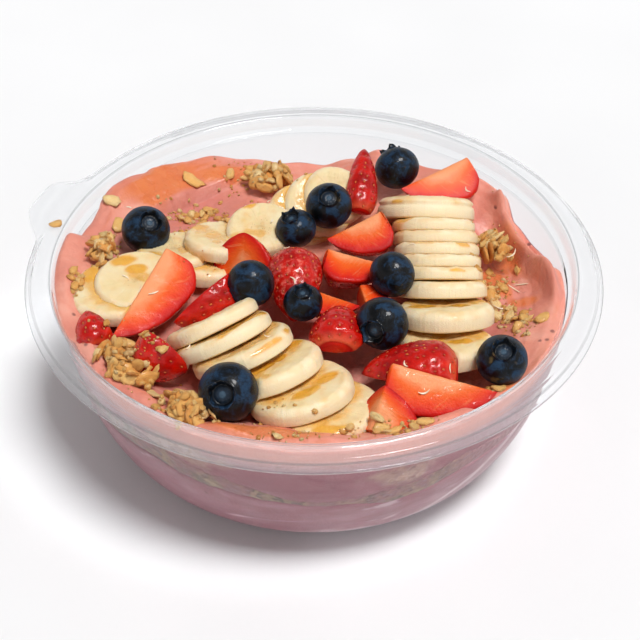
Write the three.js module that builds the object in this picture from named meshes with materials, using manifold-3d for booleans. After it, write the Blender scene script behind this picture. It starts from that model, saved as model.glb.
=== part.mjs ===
// A fruit-topped acai bowl in a clear take-away dish: two blends of acai with a band of granola
// between them, banana slices laid in fans, cut strawberries, blueberries and granola clumps.
// Units are millimetres, +Z is up, and the origin is on the dish's axis, on the table under it.
// The dish's lift tab points to the back left. Angles are degrees, counted from +X towards +Y.

import * as THREE from "three";
import { mergeVertices } from "three/addons/utils/BufferGeometryUtils.js";
import Module from "manifold-3d";

const wasm = await Module();
wasm.setup();

// ---------------------------------------------------------------- driving dimensions

const SIDES = 48; // facets round the dish and the layers in it
const GAP = 0.3; // air between pieces that touch
const LAYER_GAP = 0.8; // and between the layers, whose wavy faces are facetted
const SLIVER = 0.08; // thinnest sliver that a cut may leave

const WALL = 0.7; // clear plastic
const BASE_RADIUS = 46.8;
const WALL_TOP_RADIUS = 78.95;
const WALL_HEIGHT = 56.8; // the wall ends here, in the ledge that a lid drops onto
const SEAT_RADIUS = 80.3; // outside of the ring that grips the lid, at its foot
const RIM_HEIGHT = 62;
const RIM_INNER_RADIUS = 81.6;
const RIM_OUTER_RADIUS = 87.7;
const RIM_FALL = 0.8; // how far the rim slopes down outwards
const SKIRT_RADIUS = 90;
const SKIRT_HEIGHT = 57.7; // lower edge of the skirt above the table

const TAB_ANGLE = 158.7;
const TAB_REACH = 96.6;
const TAB_HALF_WIDTH = 17.5;

const ACAI_MIDDLE = 47; // height of the blend under the fruit
const MOUNDS = [[-46, 8, 4.5, 26], [4, 4, 3.5, 22], [32, 46, 4, 12]]; // and of its mounds: x, y, rise, spread
const GRANOLA_MIDDLE = 35; // height of the granola band away from the wall

const BERRY_FLATNESS = 0.9; // a blueberry's height over its width
const CROWN_SHARE = 0.36; // width of a blueberry's crown over the berry's own

// ---------------------------------------------------------------- finishes

const finish = (color, roughness) => new THREE.MeshStandardMaterial({ color, roughness, metalness: 0 });
const clearPlastic = new THREE.MeshStandardMaterial({
  color: 0xf4f6f7,
  roughness: 0.08,
  metalness: 0,
  transparent: true,
  opacity: 0.35,
});
const salmonAcai = finish(0xe88c6e, 0.45);
const mauveAcai = finish(0xb07c88, 0.5);
const granola = finish(0xd7a864, 0.75);
const bananaFlesh = finish(0xf5e6c8, 0.5);
const strawberryRed = finish(0xd8301c, 0.3);
const berryBlue = finish(0x1f2b3d, 0.4);

// ---------------------------------------------------------------- small tools

const radians = THREE.MathUtils.degToRad;
const mix = THREE.MathUtils.lerp;
const smoothstep = THREE.MathUtils.smoothstep;
const vector = (p) => new THREE.Vector3(...p);

// A seeded draw from 0 to 1, so that every build scatters the granola the same way.
function seededDraw(seed) {
  let state = seed;
  return () => {
    state = (Math.imul(state, 1664525) + 1013904223) >>> 0;
    return state / 4294967296;
  };
}

// Eases between the stations [angle, value] that go once round the dish.
function roundTheDish(stations, angle) {
  const last = stations.length - 1;
  const turned = (((angle - stations[0][0]) % 360) + 360) % 360 + stations[0][0];
  const next = stations.findIndex(([stationAngle]) => stationAngle > turned);
  const to = next < 0 ? [stations[0][0] + 360, stations[0][1]] : stations[next];
  const from = next < 0 ? stations[last] : stations[next - 1];
  return mix(from[1], to[1], smoothstep(turned, from[0], to[0]));
}

const angleBetween = (a, b) => Math.abs((((a - b) % 360) + 540) % 360 - 180);
const bell = (distance, width) => Math.exp(-((distance / width) ** 2));

// The bare, welded points and faces of a closed geometry.
function welded(geometry) {
  const bare = geometry.clone();
  for (const name of Object.keys(bare.attributes)) if (name !== "position") bare.deleteAttribute(name);
  return mergeVertices(bare, 1e-4);
}

function solidOf(geometry) {
  const shape = welded(geometry);
  return new wasm.Manifold(
    new wasm.Mesh({
      numProp: 3,
      vertProperties: shape.attributes.position.array,
      triVerts: new Uint32Array(shape.index.array),
    }),
  );
}

// The largest body of a solid, as a geometry: a cut can leave scraps, which are dropped, and
// slivers along its edges, which are smoothed away.
function geometryOf(solid) {
  const bodies = solid.simplify(SLIVER).decompose().sort((a, b) => b.volume() - a.volume());
  const mesh = bodies[0].getMesh();
  const geometry = new THREE.BufferGeometry();
  geometry.setAttribute("position", new THREE.BufferAttribute(mesh.vertProperties, 3));
  geometry.setIndex(new THREE.BufferAttribute(mesh.triVerts, 1));
  return geometry;
}

// A closed round body about +Z. profileAt(angle) lists its [radius, height] points from the
// axis at the bottom to the axis at the top, the same number of them at every angle.
function roundBody(profileAt, sides) {
  const points = profileAt(0).map(([r, z]) => new THREE.Vector2(Math.max(r, 1e-6), z));
  const geometry = new THREE.LatheGeometry(points, sides);
  const position = geometry.attributes.position;
  for (let side = 0; side <= sides; side++) {
    const angle = (360 * (side % sides)) / sides;
    profileAt(angle).forEach(([r, z], k) => {
      const x = r * Math.cos(radians(angle));
      const y = r * Math.sin(radians(angle));
      position.setXYZ(side * points.length + k, x, y, z);
    });
  }
  return welded(geometry);
}

// ---------------------------------------------------------------- the clear dish

// The outside of the base and wall as [radius, height] points: the wall swells quickly above
// the base and then stands up.
const wallLine = [0, 1.5, 7, 20, 38, WALL_HEIGHT].map((z) => {
  const swell = (1 - (1 - z / WALL_HEIGHT) ** 1.81) ** (1 / 2.32);
  return new THREE.Vector2(mix(BASE_RADIUS, WALL_TOP_RADIUS, swell), z);
});
wallLine.unshift(new THREE.Vector2(0, 0));

// That line moved into the dish by a distance, square to itself.
function insetWall(distance) {
  return wallLine.map((point, i) => {
    const before = wallLine[Math.max(i, 1)].clone().sub(wallLine[Math.max(i, 1) - 1]).normalize();
    const next = Math.min(i + 1, wallLine.length - 1);
    const after = wallLine[next].clone().sub(wallLine[next - 1]).normalize();
    const along = before.clone().add(after).normalize();
    const inward = new THREE.Vector2(-along.y, along.x);
    return point.clone().addScaledVector(inward, distance / along.dot(after));
  });
}
const wallInside = insetWall(WALL);
const contentLine = insetWall(WALL + GAP);

// How far out the contents reach at a height: up the wall, over the ledge and up the seat ring.
function contentRadius(z) {
  const above = contentLine.findIndex((point) => point.y > z);
  const next = above < 0 ? contentLine.length - 1 : Math.max(above, 2);
  const [from, to] = [contentLine[next - 1], contentLine[next]];
  const onWall = mix(from.x, to.x, THREE.MathUtils.clamp((z - from.y) / (to.y - from.y), 0, 1));
  const onSeat = SEAT_RADIUS - WALL - GAP + 0.3 * (z - WALL_HEIGHT);
  return mix(onWall, onSeat, smoothstep(z, WALL_HEIGHT + 1.4, WALL_HEIGHT + 1.9));
}

function dishProfile() {
  const pair = (point) => [point.x, point.y];
  const flangeUnder = RIM_HEIGHT - RIM_FALL - WALL;
  return [
    ...wallLine.map(pair),
    [SEAT_RADIUS, WALL_HEIGHT + 0.1],
    [RIM_INNER_RADIUS + 0.3, RIM_HEIGHT - WALL],
    [RIM_OUTER_RADIUS - 0.2, flangeUnder],
    [SKIRT_RADIUS - WALL, SKIRT_HEIGHT],
    [SKIRT_RADIUS, SKIRT_HEIGHT],
    [RIM_OUTER_RADIUS + 0.4, RIM_HEIGHT - RIM_FALL - 0.3],
    [RIM_OUTER_RADIUS - 0.5, RIM_HEIGHT - RIM_FALL],
    [RIM_INNER_RADIUS, RIM_HEIGHT],
    [RIM_INNER_RADIUS - 0.5, RIM_HEIGHT - 0.4],
    [SEAT_RADIUS - WALL, WALL_HEIGHT + 0.8],
    ...wallInside.map(pair).reverse(),
  ];
}

// The lift tab: the rim drawn out into a flat tongue with round shoulders.
function liftTab() {
  const outline = new THREE.Shape();
  const root = RIM_OUTER_RADIUS - 3;
  outline.moveTo(root, -TAB_HALF_WIDTH);
  outline.bezierCurveTo(91, -16, TAB_REACH, -12, TAB_REACH, -4);
  outline.lineTo(TAB_REACH, 4);
  outline.bezierCurveTo(TAB_REACH, 12, 91, 16, root, TAB_HALF_WIDTH);
  outline.closePath();
  const tongue = new THREE.ExtrudeGeometry(outline, { depth: WALL, bevelEnabled: false, curveSegments: 6 });
  tongue.translate(0, 0, RIM_HEIGHT - RIM_FALL - WALL);
  return tongue.rotateZ(radians(TAB_ANGLE));
}

function dish() {
  const profile = dishProfile();
  return geometryOf(solidOf(roundBody(() => profile, SIDES)).add(solidOf(liftTab())));
}

// ---------------------------------------------------------------- acai and granola layers

// Height at which the blend meets the wall. It was smeared up to the rim at the left, stands
// low at the back and behind the folded lip at the right.
const EDGE_LEVELS = [
  [-178, 60], [-166, 59], [-150, 57], [-118, 56], [-90, 57], [-62, 57], [-30, 55.5], [-8, 54], [4, 53],
  [13, 48], [24, 46], [31, 47], [36, 54], [44, 54.5], [62, 50], [73, 52.5], [80, 47.5],
  [88, 44.5], [97, 45.5], [108, 49], [118, 53.5], [135, 57.5], [146, 59], [152, 57.5],
  [158, 55], [163, 55], [168, 60],
];

// The granola band dips at the front and is thickest at the front left and the front right.
const BAND_LEVELS = [
  [-160, 38], [-130, 41], [-112, 36.5], [-90, 31.5], [-72, 32], [-52, 37], [-20, 36], [60, 34],
];
const BAND_THICKNESS = [
  [-160, 5], [-128, 7], [-108, 6], [-96, 2], [-82, 2], [-72, 6], [-52, 7], [-30, 4], [60, 5],
];

// A crease left by the spoon at the back left: the blend outside it stands proud.
function spoonCrease(angle, radius) {
  const crease = 65 + 3 * smoothstep(118 - angle, 0, 8);
  const reach = bell(angleBetween(angle, 130), 19);
  const outside = radius > crease;
  const lift = outside ? 2.2 * bell(radius - crease, 7) : -2 * bell(radius - crease, 9);
  return reach * lift;
}

// The lip at the right, folded over and standing clear of the wall.
function foldedLip(angle, radius) {
  const crest = 71 + 6 * bell(angleBetween(angle, 40), 9) + 5 * bell(angleBetween(angle, -8), 14);
  const reach = smoothstep(angle, -14, 2) * (1 - smoothstep(angle, 34, 42));
  return reach * (6.5 * bell(radius - crest, 2.6) - 2.5 * bell(radius - crest + 9, 6));
}

// The mounds that carry the fruit, and the soft swells that the spoon leaves everywhere.
function swells(angle, radius) {
  const x = radius * Math.cos(radians(angle));
  const y = radius * Math.sin(radians(angle));
  const ripples = 0.7 * Math.sin(0.13 * x + 0.07 * y) + 0.6 * Math.sin(0.21 * y - 0.11 * x + 1);
  const rises = MOUNDS.map(([mx, my, rise, spread]) => rise * bell(Math.hypot(x - mx, y - my), spread));
  return rises.reduce((sum, rise) => sum + rise, ripples);
}

function acaiHeight(angle, share) {
  const edge = roundTheDish(EDGE_LEVELS, angle);
  const radius = share * contentRadius(edge);
  const inward = smoothstep(1 - share, 0, 0.3);
  const signed = ((angle + 540) % 360) - 180;
  const relief = spoonCrease(signed, radius) + foldedLip(signed, radius) + swells(angle, radius);
  return mix(edge, ACAI_MIDDLE, inward) + relief * smoothstep(1 - share, 0, 0.05);
}

function bandSurface(angle, share, sign) {
  const level = roundTheDish(BAND_LEVELS, angle);
  const half = roundTheDish(BAND_THICKNESS, angle) / 2;
  const inward = smoothstep(1 - share, 0, 0.4);
  const ripple = 0.4 * Math.sin(radians(5 * angle) + 2 * sign);
  return mix(level + ripple + sign * half, GRANOLA_MIDDLE + sign * 2.5, inward);
}
const bandTop = (angle, share) => bandSurface(angle, share, 1);
const bandBottom = (angle, share) => bandSurface(angle, share, -1);

// A layer that fills the dish between two surfaces, each a function of angle and of the share
// of the way out to the wall. The side follows the wall in the given number of steps, and where
// it reaches the ledge it steps out over it.
function layer(bottom, bottomShares, top, topShares, steps) {
  return roundBody((angle) => {
    const low = bottom(angle, 1);
    const high = top(angle, 1);
    const surface = (height, reach, share) => [share * reach, height(angle, share)];
    const foot = Math.min(high - 0.6, WALL_HEIGHT + 1.3);
    const side = [];
    for (let i = 1; i <= steps; i++) side.push(mix(low, foot, (i / steps) ** 1.6));
    side.push(Math.min(high - 0.1, foot + 0.55));
    return [
      ...bottomShares.map((share) => surface(bottom, contentRadius(low), share)),
      ...side.map((z) => [contentRadius(z), z]),
      ...topShares.map((share) => surface(top, contentRadius(high), share)).reverse(),
    ];
  }, SIDES);
}

const COARSE = [0, 0.7, 1];
const FINE = [0, 0.45, 0.66, 0.76, 0.83, 0.88, 0.92, 0.955, 0.98, 1];

const lowerAcai = () =>
  layer(() => WALL + GAP, COARSE, (a, s) => bandBottom(a, s) - LAYER_GAP, COARSE, 4);
const granolaBand = () => layer(bandBottom, COARSE, bandTop, COARSE, 1);

// ---------------------------------------------------------------- granola

// A rolled oat or a crumb: a lens with a few facets.
function oat(length, width, thickness) {
  return new THREE.IcosahedronGeometry(1, 0).scale(length / 2, width / 2, thickness / 2);
}

// Oats baked into a clump: a lumpy core with flakes standing off it at all angles.
function clump({ size: [length, width, height], flakes, seed }, grow) {
  const draw = seededDraw(seed);
  const fat = 2 * grow;
  let solid = solidOf(oat(0.8 * length + fat, 0.8 * width + fat, 0.8 * height + fat));
  for (let i = 0; i < flakes; i++) {
    const turn = i * 137.5;
    const rise = mix(-0.35, 0.95, (i + 0.5) / flakes);
    const out = Math.sqrt(1 - rise * rise);
    const flake = oat(mix(4, 6, draw()) + fat, mix(3, 4.2, draw()) + fat, mix(1.4, 2.2, draw()) + fat);
    flake.rotateX(radians(mix(-50, 50, draw()))).rotateY(radians(mix(-50, 50, draw())));
    flake.rotateZ(radians(360 * draw()));
    flake.translate(
      length * 0.38 * out * Math.cos(radians(turn)),
      width * 0.38 * out * Math.sin(radians(turn)),
      height * 0.4 * rise,
    );
    solid = solid.add(solidOf(flake));
  }
  return geometryOf(solid);
}

// Loose flakes pressed into the blend, as [x, y, length] with the spread of crumbs round each.
const LOOSE_OATS = [
  [-66, 37, 8], [-63.5, 28, 6.5], [-41, 55.5, 9], [-22, 64, 5], [62.5, 28, 6.5], [70, -18.5, 6],
  [57, -4, 5], [61, -10, 4.5], [-73, -6, 4.5], [-47, -54, 6], [-41, 27, 4.5], [-35, 32, 4.5],
  [22.5, -69.5, 6.5], [32, -66.5, 6.5], [60, 3, 4.5], [-10, 48, 5.5],
];

function upperAcai() {
  const draw = seededDraw(7);
  const blend = layer((a, s) => bandTop(a, s) + LAYER_GAP, COARSE, acaiHeight, FINE, 2);
  return LOOSE_OATS.reduce((solid, [x, y, length]) => {
    const angle = (Math.atan2(y, x) * 180) / Math.PI;
    const share = Math.hypot(x, y) / contentRadius(roundTheDish(EDGE_LEVELS, angle));
    const flake = oat(length, 0.68 * length, 2.2);
    flake.rotateX(radians(mix(-18, 18, draw()))).rotateZ(radians(360 * draw()));
    flake.translate(x, y, acaiHeight(angle, share) + 0.5);
    return solid.add(solidOf(flake));
  }, solidOf(blend));
}

// ---------------------------------------------------------------- banana

// One slice: a slightly three-cornered disc whose peeled side bulges a little.
function bananaSlice({ diameter, thickness }, grow) {
  return roundBody((angle) => {
    const outline = 1 + 0.022 * Math.cos(radians(3 * angle)) + 0.02 * Math.cos(radians(2 * angle));
    const r = (diameter / 2) * outline + grow;
    const h = thickness / 2 + grow;
    return [[0, -h], [r - 0.5, -h], [r, 0], [r - 0.5, h], [0, h]];
  }, 12);
}

// Each slice: name, centre, diameter, thickness, the way it leans and how far.
function slice(name, at, diameter, thickness, towards, lean) {
  return { name, at, diameter, thickness, towards, lean };
}

// The slices are listed from the top of each fan down.
const SLICES = [
  slice("banana_left_upper", [-54.5, -6, 58.5], 27, 4, 240, 3),
  slice("banana_left_lower", [-61, -8.5, 56.6], 30, 4.5, 120, 3),
  slice("banana_left_behind", [-44, 11.5, 56.5], 25, 4, 100, 12),
  slice("banana_middle_upper", [-16.8, 18.2, 60.5], 22.5, 4.5, -100, 10),
  slice("banana_middle_second", [-28, 15, 58.5], 27, 4.5, 80, 16),
  slice("banana_middle_third", [-33, 10, 54.5], 28, 4.5, 80, 10),
  slice("banana_back_upper", [6.7, 38.5, 59], 21, 5, -85, 30),
  slice("banana_back_second", [1.5, 36.5, 56.5], 23, 4, -75, 32),
  slice("banana_back_third", [-4, 34, 54], 23, 4, -65, 32),
  slice("banana_front_1", [-31, -25.5, 58.5], 29, 4.2, 130, 42),
  slice("banana_front_2", [-27.3, -31.5, 58.3], 30, 4.4, 132, 38),
  slice("banana_front_3", [-21.5, -36.8, 57.8], 30.5, 4.8, 135, 31),
  slice("banana_front_4", [-13.3, -43.5, 56.6], 31, 5, 135, 23),
  slice("banana_front_5", [-4, -52, 54.8], 31, 5, 135, 16),
  slice("banana_front_6", [4, -57, 51.6], 30.5, 5, 135, 9),
  slice("banana_right_1", [36.3, 36.4, 55.3], 31, 7, 88, 40),
  ...fan("banana_right", 2, 5, [38.2, 25.5, 56.4], [0.2, -6.3, 0.05], 26.5, 3.7, 90, 41),
  slice("banana_right_7", [39.5, -6, 56.2], 27.5, 4.8, 90, 36),
  slice("banana_right_8", [40, -18, 56.2], 29, 6, 92, 27),
  slice("banana_right_9", [40, -31, 53.8], 28, 6, 95, 18),
];

// A row of like slices that lie on each other as fallen dominoes do.
function fan(name, firstNumber, count, first, step, diameter, thickness, towards, lean) {
  const row = [];
  for (let i = 0; i < count; i++) {
    const at = first.map((value, axis) => value + i * step[axis]);
    row.push(slice(`${name}_${firstNumber + i}`, at, diameter, thickness, towards, lean));
  }
  return row;
}

// ---------------------------------------------------------------- strawberry

// A whole hulled strawberry on +Z from its flat top at 0 to its tip, as a round body.
function wholeStrawberry(length, radius) {
  const widest = 0.24;
  const profile = [0, 0.12, 0.28, 0.48, 0.68, 0.86].map((share) => {
    const taper = (share - widest) / (1 - widest);
    const width = share < widest ? 1 - 0.4 * ((widest - share) / widest) ** 2 : (1 - taper ** 1.9) ** 0.7;
    return [radius * width, length * share];
  });
  return roundBody(() => [[0, 0], ...profile, [0, length]], 12);
}

// A piece cut from it lengthwise, with the knife's two faces meeting along the axis. The middle
// of its skin faces +X.
function strawberryPiece({ top, tip, radius, sector }, grow) {
  const length = vector(top).distanceTo(vector(tip));
  const whole = wholeStrawberry(length + 2 * grow, radius + grow).translate(0, 0, -grow);
  const far = 3 * radius;
  const side = radians(sector / 2);
  const knife = new THREE.Shape();
  knife.moveTo(0, 0);
  knife.lineTo(far * Math.cos(side), -far * Math.sin(side));
  knife.lineTo(far, -far);
  knife.lineTo(far, far);
  knife.lineTo(far * Math.cos(side), far * Math.sin(side));
  const block = new THREE.ExtrudeGeometry(knife, { depth: length + 2, bevelEnabled: false });
  block.translate(-grow / Math.sin(side), 0, -1);
  return geometryOf(solidOf(whole).intersect(solidOf(block)));
}

// Each piece: where its core starts and ends (its tip), radius, sector, and the way that its
// skin faces.
const cut = (name, top, tip, radius, sector, skin) => ({ name, top, tip, radius, sector, skin });

// The way the skin faces on a piece that shows a knife face: that face lies along across, and
// the skin starts at its far edge and turns down out of sight.
function skinBelow(top, tip, sector, across) {
  const axis = vector(tip).sub(vector(top)).normalize();
  const edge = vector(across).projectOnPlane(axis).normalize();
  const up = new THREE.Vector3().crossVectors(axis, edge);
  if (up.z < 0) up.negate();
  const half = radians(sector / 2);
  return edge.multiplyScalar(Math.cos(half)).addScaledVector(up, -Math.sin(half)).toArray();
}
const shown = (name, top, tip, radius, sector, across) =>
  cut(name, top, tip, radius, sector, skinBelow(top, tip, sector, across));

// Listed from the top of the heap down.
const CUTS = [
  shown("strawberry_left_wedge", [-45.5, 0, 68], [-60.5, -30, 57.5], 14.5, 90, [0.9, -0.3, -0.4]),
  shown("strawberry_front_wedge", [22.5, -52, 66], [53, -58, 60], 13.5, 95, [-0.1, -0.8, -0.6]),
  shown("strawberry_front_tip", [16, -69.5, 55.5], [20.5, -59, 63.5], 14, 110, [1, 0, -0.1]),
  cut("strawberry_front_half", [42, -47.5, 57], [14, -46.5, 58], 11.5, 150, [0, 0.2, 1]),
  cut("strawberry_left_second", [-24, -6, 60], [-42.5, -24, 57.5], 10, 120, [0.55, -0.7, 0.1]),
  cut("strawberry_left_low", [-51.5, -35, 58.5], [-37, -42.5, 55], 9.5, 150, [0.35, -0.8, -0.1]),
  cut("strawberry_left_end", [-65, -32.5, 54.5], [-68.7, -22.8, 61.2], 5.7, 180, [0.1, -0.7, 0.7]),
  cut("strawberry_middle_peak", [-23.5, -4, 57], [-21.5, 4.5, 70], 11, 170, [0.45, 0.85, 0]),
  cut("strawberry_back_tall", [14.5, 31, 57], [16.5, 54, 67], 5.6, 160, [0.3, -0.4, 0.8]),
  shown("strawberry_back_right", [51, 54, 64], [28.5, 41.5, 60], 13, 100, [0.25, -0.8, -0.5]),
  shown("strawberry_centre_back", [21.5, 21.5, 66], [4, 13, 61], 12.5, 100, [0.5, -0.75, -0.4]),
  shown("strawberry_centre_right", [4, 2, 66], [24, -1.5, 61.5], 11.5, 100, [-0.3, -0.9, -0.1]),
  cut("strawberry_centre", [-6, 3, 61], [-6, -22, 56], 9.2, 160, [0, -0.35, 0.95]),
  shown("strawberry_centre_pink", [0, -13.5, 62], [14, -19, 60], 8, 90, [0.3, -1, -0.2]),
  shown("strawberry_centre_small", [14, -11, 62], [18, -27, 59], 8, 90, [1, -0.1, -0.2]),
  cut("strawberry_centre_front", [6.5, -38.5, 57.5], [8.5, -21, 61], 8.7, 160, [-0.1, -0.35, 0.9]),
];

// ---------------------------------------------------------------- blueberry

// A berry with its crown at +Z: five short lobes standing round a sunken middle.
function blueberry({ diameter }, grow) {
  const r = diameter / 2 + grow / BERRY_FLATNESS;
  const crown = CROWN_SHARE * r;
  return roundBody((angle) => {
    const body = [-90, -60, -30, 0, 30, 55].map((slope) => [
      r * Math.cos(radians(slope)),
      BERRY_FLATNESS * r * Math.sin(radians(slope)),
    ]);
    const lobe = 0.05 * r * (1 + Math.cos(radians(5 * angle)));
    const top = BERRY_FLATNESS * r * 0.93;
    const lip = [crown * 1.15, top + lobe];
    const sunken = [[crown * 0.8, top - 0.1 * r], [0, top - 0.14 * r]];
    return [[0, body[0][1]], ...body.slice(1), lip, ...sunken];
  }, 10);
}

// Each berry: name, centre, diameter and the way that its crown faces.
const berry = (name, at, diameter, crown) => ({ name, at, diameter, crown });
const BERRIES = [
  berry("blueberry_back_left", [-53.7, 18.9, 60], 15.6, [0.3, -0.44, 0.85]),
  berry("blueberry_back_right", [27.5, 53, 60], 14.9, [-0.3, 0.8, 0.4]),
  berry("blueberry_back_middle", [4.7, 25.5, 64.8], 15, [0, -0.45, 0.89]),
  berry("blueberry_middle", [-5.8, 15, 63.5], 13, [-0.3, -0.1, 0.95]),
  berry("blueberry_dark", [-19.2, -14.5, 65], 14.6, [0, 0.9, -0.3]),
  berry("blueberry_small", [-3.3, -21, 63], 12, [0, -0.19, 0.98]),
  berry("blueberry_right_upper", [23.9, -10, 65], 14, [0.3, 0.8, -0.4]),
  berry("blueberry_right_lower", [20.4, -31.5, 63.5], 16, [-0.44, -0.86, 0.25]),
  berry("blueberry_front", [-24.6, -58, 60], 17.6, [-0.2, -0.79, 0.57]),
  berry("blueberry_right", [55.3, -44, 60], 15.2, [0, -0.39, 0.92]),
];

// Each clump: name, centre, its three sizes, the way that the first points, number of flakes and
// seed of its draw.
const lump = (name, at, size, turn, flakes, seed) => ({ name, at, size, turn, flakes, seed });
const CLUMPS = [
  lump("granola_front_left", [-55, -44.5, 57.5], [21, 12, 8], -50, 8, 11),
  lump("granola_front", [-36.5, -61.5, 56.5], [15, 11, 8], -30, 6, 23),
  lump("granola_right", [57, 19, 53], [14, 11, 8], -40, 5, 31),
  lump("granola_back", [-15.5, 58, 52], [14, 12, 7], 20, 5, 43),
  lump("granola_left", [-66.5, 9.5, 58.5], [11, 8, 7], 80, 4, 57),
];

// ---------------------------------------------------------------- assembly

const UP = new THREE.Vector3(0, 0, 1);

const placed = (name, geometry, material) => {
  const mesh = new THREE.Mesh(geometry, material);
  mesh.name = name;
  return mesh;
};

// A topping: its mesh in place, and its shape again with room round it for its neighbours.
function topping(spec, build, material) {
  const mesh = placed(spec.name, build(spec, 0), material);
  return { mesh, roomy: build(spec, GAP) };
}

function bananaPiece(spec) {
  const piece = topping(spec, bananaSlice, bananaFlesh);
  const tilt = radians(spec.lean);
  const way = radians(spec.towards);
  const facing = new THREE.Vector3(Math.cos(way), Math.sin(way), 0).multiplyScalar(Math.sin(tilt));
  facing.z = Math.cos(tilt);
  piece.mesh.position.set(...spec.at);
  piece.mesh.quaternion.setFromUnitVectors(UP, facing);
  return piece;
}

function strawberryCut(spec) {
  const piece = topping(spec, strawberryPiece, strawberryRed);
  const z = vector(spec.tip).sub(vector(spec.top)).normalize();
  const x = vector(spec.skin).projectOnPlane(z).normalize();
  const y = new THREE.Vector3().crossVectors(z, x);
  piece.mesh.position.set(...spec.top);
  piece.mesh.quaternion.setFromRotationMatrix(new THREE.Matrix4().makeBasis(x, y, z));
  return piece;
}

function wholeBerry(spec) {
  const piece = topping(spec, blueberry, berryBlue);
  piece.mesh.position.set(...spec.at);
  piece.mesh.quaternion.setFromUnitVectors(UP, vector(spec.crown).normalize());
  return piece;
}

function granolaClump(spec) {
  const piece = topping(spec, clump, granola);
  piece.mesh.position.set(...spec.at);
  piece.mesh.rotation.z = radians(spec.turn);
  return piece;
}

// One flake that fell on the rim, beside the tab.
function rimFlake() {
  const mesh = placed("granola_rim_flake", oat(4.6, 3.4, 1.6), granola);
  mesh.position.set(-82.3, 18.4, RIM_HEIGHT + 1);
  mesh.rotation.z = radians(35);
  return mesh;
}

// Lets the pieces settle into each other: in order from the top of the heap down, each loses
// what the pieces above press into it, plus the gap. Returns all the room that they take.
function settle(pieces) {
  const above = [];
  for (const { mesh, roomy } of pieces) {
    mesh.updateMatrixWorld(true);
    const inPlace = (geometry) => solidOf(geometry.clone().applyMatrix4(mesh.matrixWorld));
    const left = above.reduce((solid, upper) => solid.subtract(upper), inPlace(mesh.geometry));
    above.push(inPlace(roomy));
    mesh.geometry = geometryOf(left).applyMatrix4(mesh.matrixWorld.clone().invert());
  }
  return above;
}

const toppings = [
  ...BERRIES.map(wholeBerry),
  ...CUTS.map(strawberryCut),
  ...SLICES.map(bananaPiece),
  ...CLUMPS.map(granolaClump),
];
const pressedIn = settle(toppings);
const acaiUnderThem = pressedIn.reduce((solid, upper) => solid.subtract(upper), upperAcai());

const acaiBowl = new THREE.Group();
acaiBowl.name = "acai_bowl";
acaiBowl.add(
  placed("dish", dish(), clearPlastic),
  placed("acai_lower", lowerAcai(), mauveAcai),
  placed("granola_layer", granolaBand(), granola),
  placed("acai_upper", geometryOf(acaiUnderThem), salmonAcai),
  rimFlake(),
  ...toppings.map(({ mesh }) => mesh),
);

export default acaiBowl;
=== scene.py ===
# An acai bowl in a clear take-away dish: a mauve and a salmon blend with granola between them,
# fans of banana slices, cut strawberries, blueberries, granola, honey and shreds of coconut.
# The sizes in the sections are millimetres; each finished piece is brought to metres.
import math
import random

import bmesh
import bpy
from mathutils import Matrix, Vector, kdtree, noise
from mathutils.bvhtree import BVHTree


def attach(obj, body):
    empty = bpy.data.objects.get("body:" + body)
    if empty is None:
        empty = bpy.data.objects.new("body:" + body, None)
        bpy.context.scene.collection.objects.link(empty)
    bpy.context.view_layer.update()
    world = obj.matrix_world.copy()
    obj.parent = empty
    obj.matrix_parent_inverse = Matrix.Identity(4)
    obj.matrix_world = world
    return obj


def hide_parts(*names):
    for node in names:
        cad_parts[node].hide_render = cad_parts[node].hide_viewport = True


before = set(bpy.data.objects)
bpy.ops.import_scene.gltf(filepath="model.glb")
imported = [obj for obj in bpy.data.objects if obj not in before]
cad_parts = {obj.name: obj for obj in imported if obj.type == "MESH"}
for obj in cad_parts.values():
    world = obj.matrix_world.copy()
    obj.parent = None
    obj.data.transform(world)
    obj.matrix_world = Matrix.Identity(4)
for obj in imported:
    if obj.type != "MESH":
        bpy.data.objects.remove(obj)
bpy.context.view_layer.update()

# ---------------------------------------------------------------- the clear dish
# One sheet of clear plastic, drawn by vacuum into a wide round wall, a ledge and a ring that a
# lid snaps onto, and a rim with a turned-down skirt. The sheet is 0.7 mm thick all over, and at
# the back left the rim runs out into a tongue that the lid is lifted by.
MM = 0.001
SHEET = 0.7
BASE_RADIUS = 46.8
WALL_TOP_RADIUS = 78.95
WALL_HEIGHT = 56.8
RIM_CORNERS = [
    (78.6, 56.9), (79.95, 57.2), (80.6, 59.3), (81.2, 61.2), (81.7, 61.65), (82.7, 61.55),
    (83.0, 61.3), (83.5, 61.3), (83.8, 61.5), (86.2, 61.15), (86.6, 61.3), (87.1, 61.25),
    (87.5, 60.8), (88.2, 59.6), (88.7, 58.7), (88.95, 58.3), (89.3, 58.15), (89.65, 58.1),
]
TONGUE_ANGLE = math.radians(158.7)
TONGUE_REACH = 6.6
TONGUE_HEIGHT = 60.9
TONGUE_CENTRE_RADIUS = 93
TONGUE_SIDES = (6, 20)
TONGUE_STARTS = (84.0, 89.65)
RIM_START = 80.4
# BENDS are the radii where the sheet bends sharply; along each, a band BEND_HALF_WIDTH to either side is
# painted dark.
BENDS = (81.9, 87.9, 89.6)
BEND_HALF_WIDTH = 0.17
PRESSED_CLEAR = 0.15


def mix(low, high, share):
    return low + (high - low) * share


def ease(x, low, high):
    """Goes smoothly from 0 to 1 while x goes from low to high."""
    share = min(max((x - low) / (high - low), 0.0), 1.0)
    return share * share * (3 - 2 * share)


def rounded(corners):
    """The line through these corners, with each corner cut off twice."""
    for _ in range(2):
        line = [corners[0]]
        for (r0, z0), (r1, z1) in zip(corners, corners[1:]):
            line.append((mix(r0, r1, 0.25), mix(z0, z1, 0.25)))
            line.append((mix(r0, r1, 0.75), mix(z0, z1, 0.75)))
        corners = line + [corners[-1]]
    return corners


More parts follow.
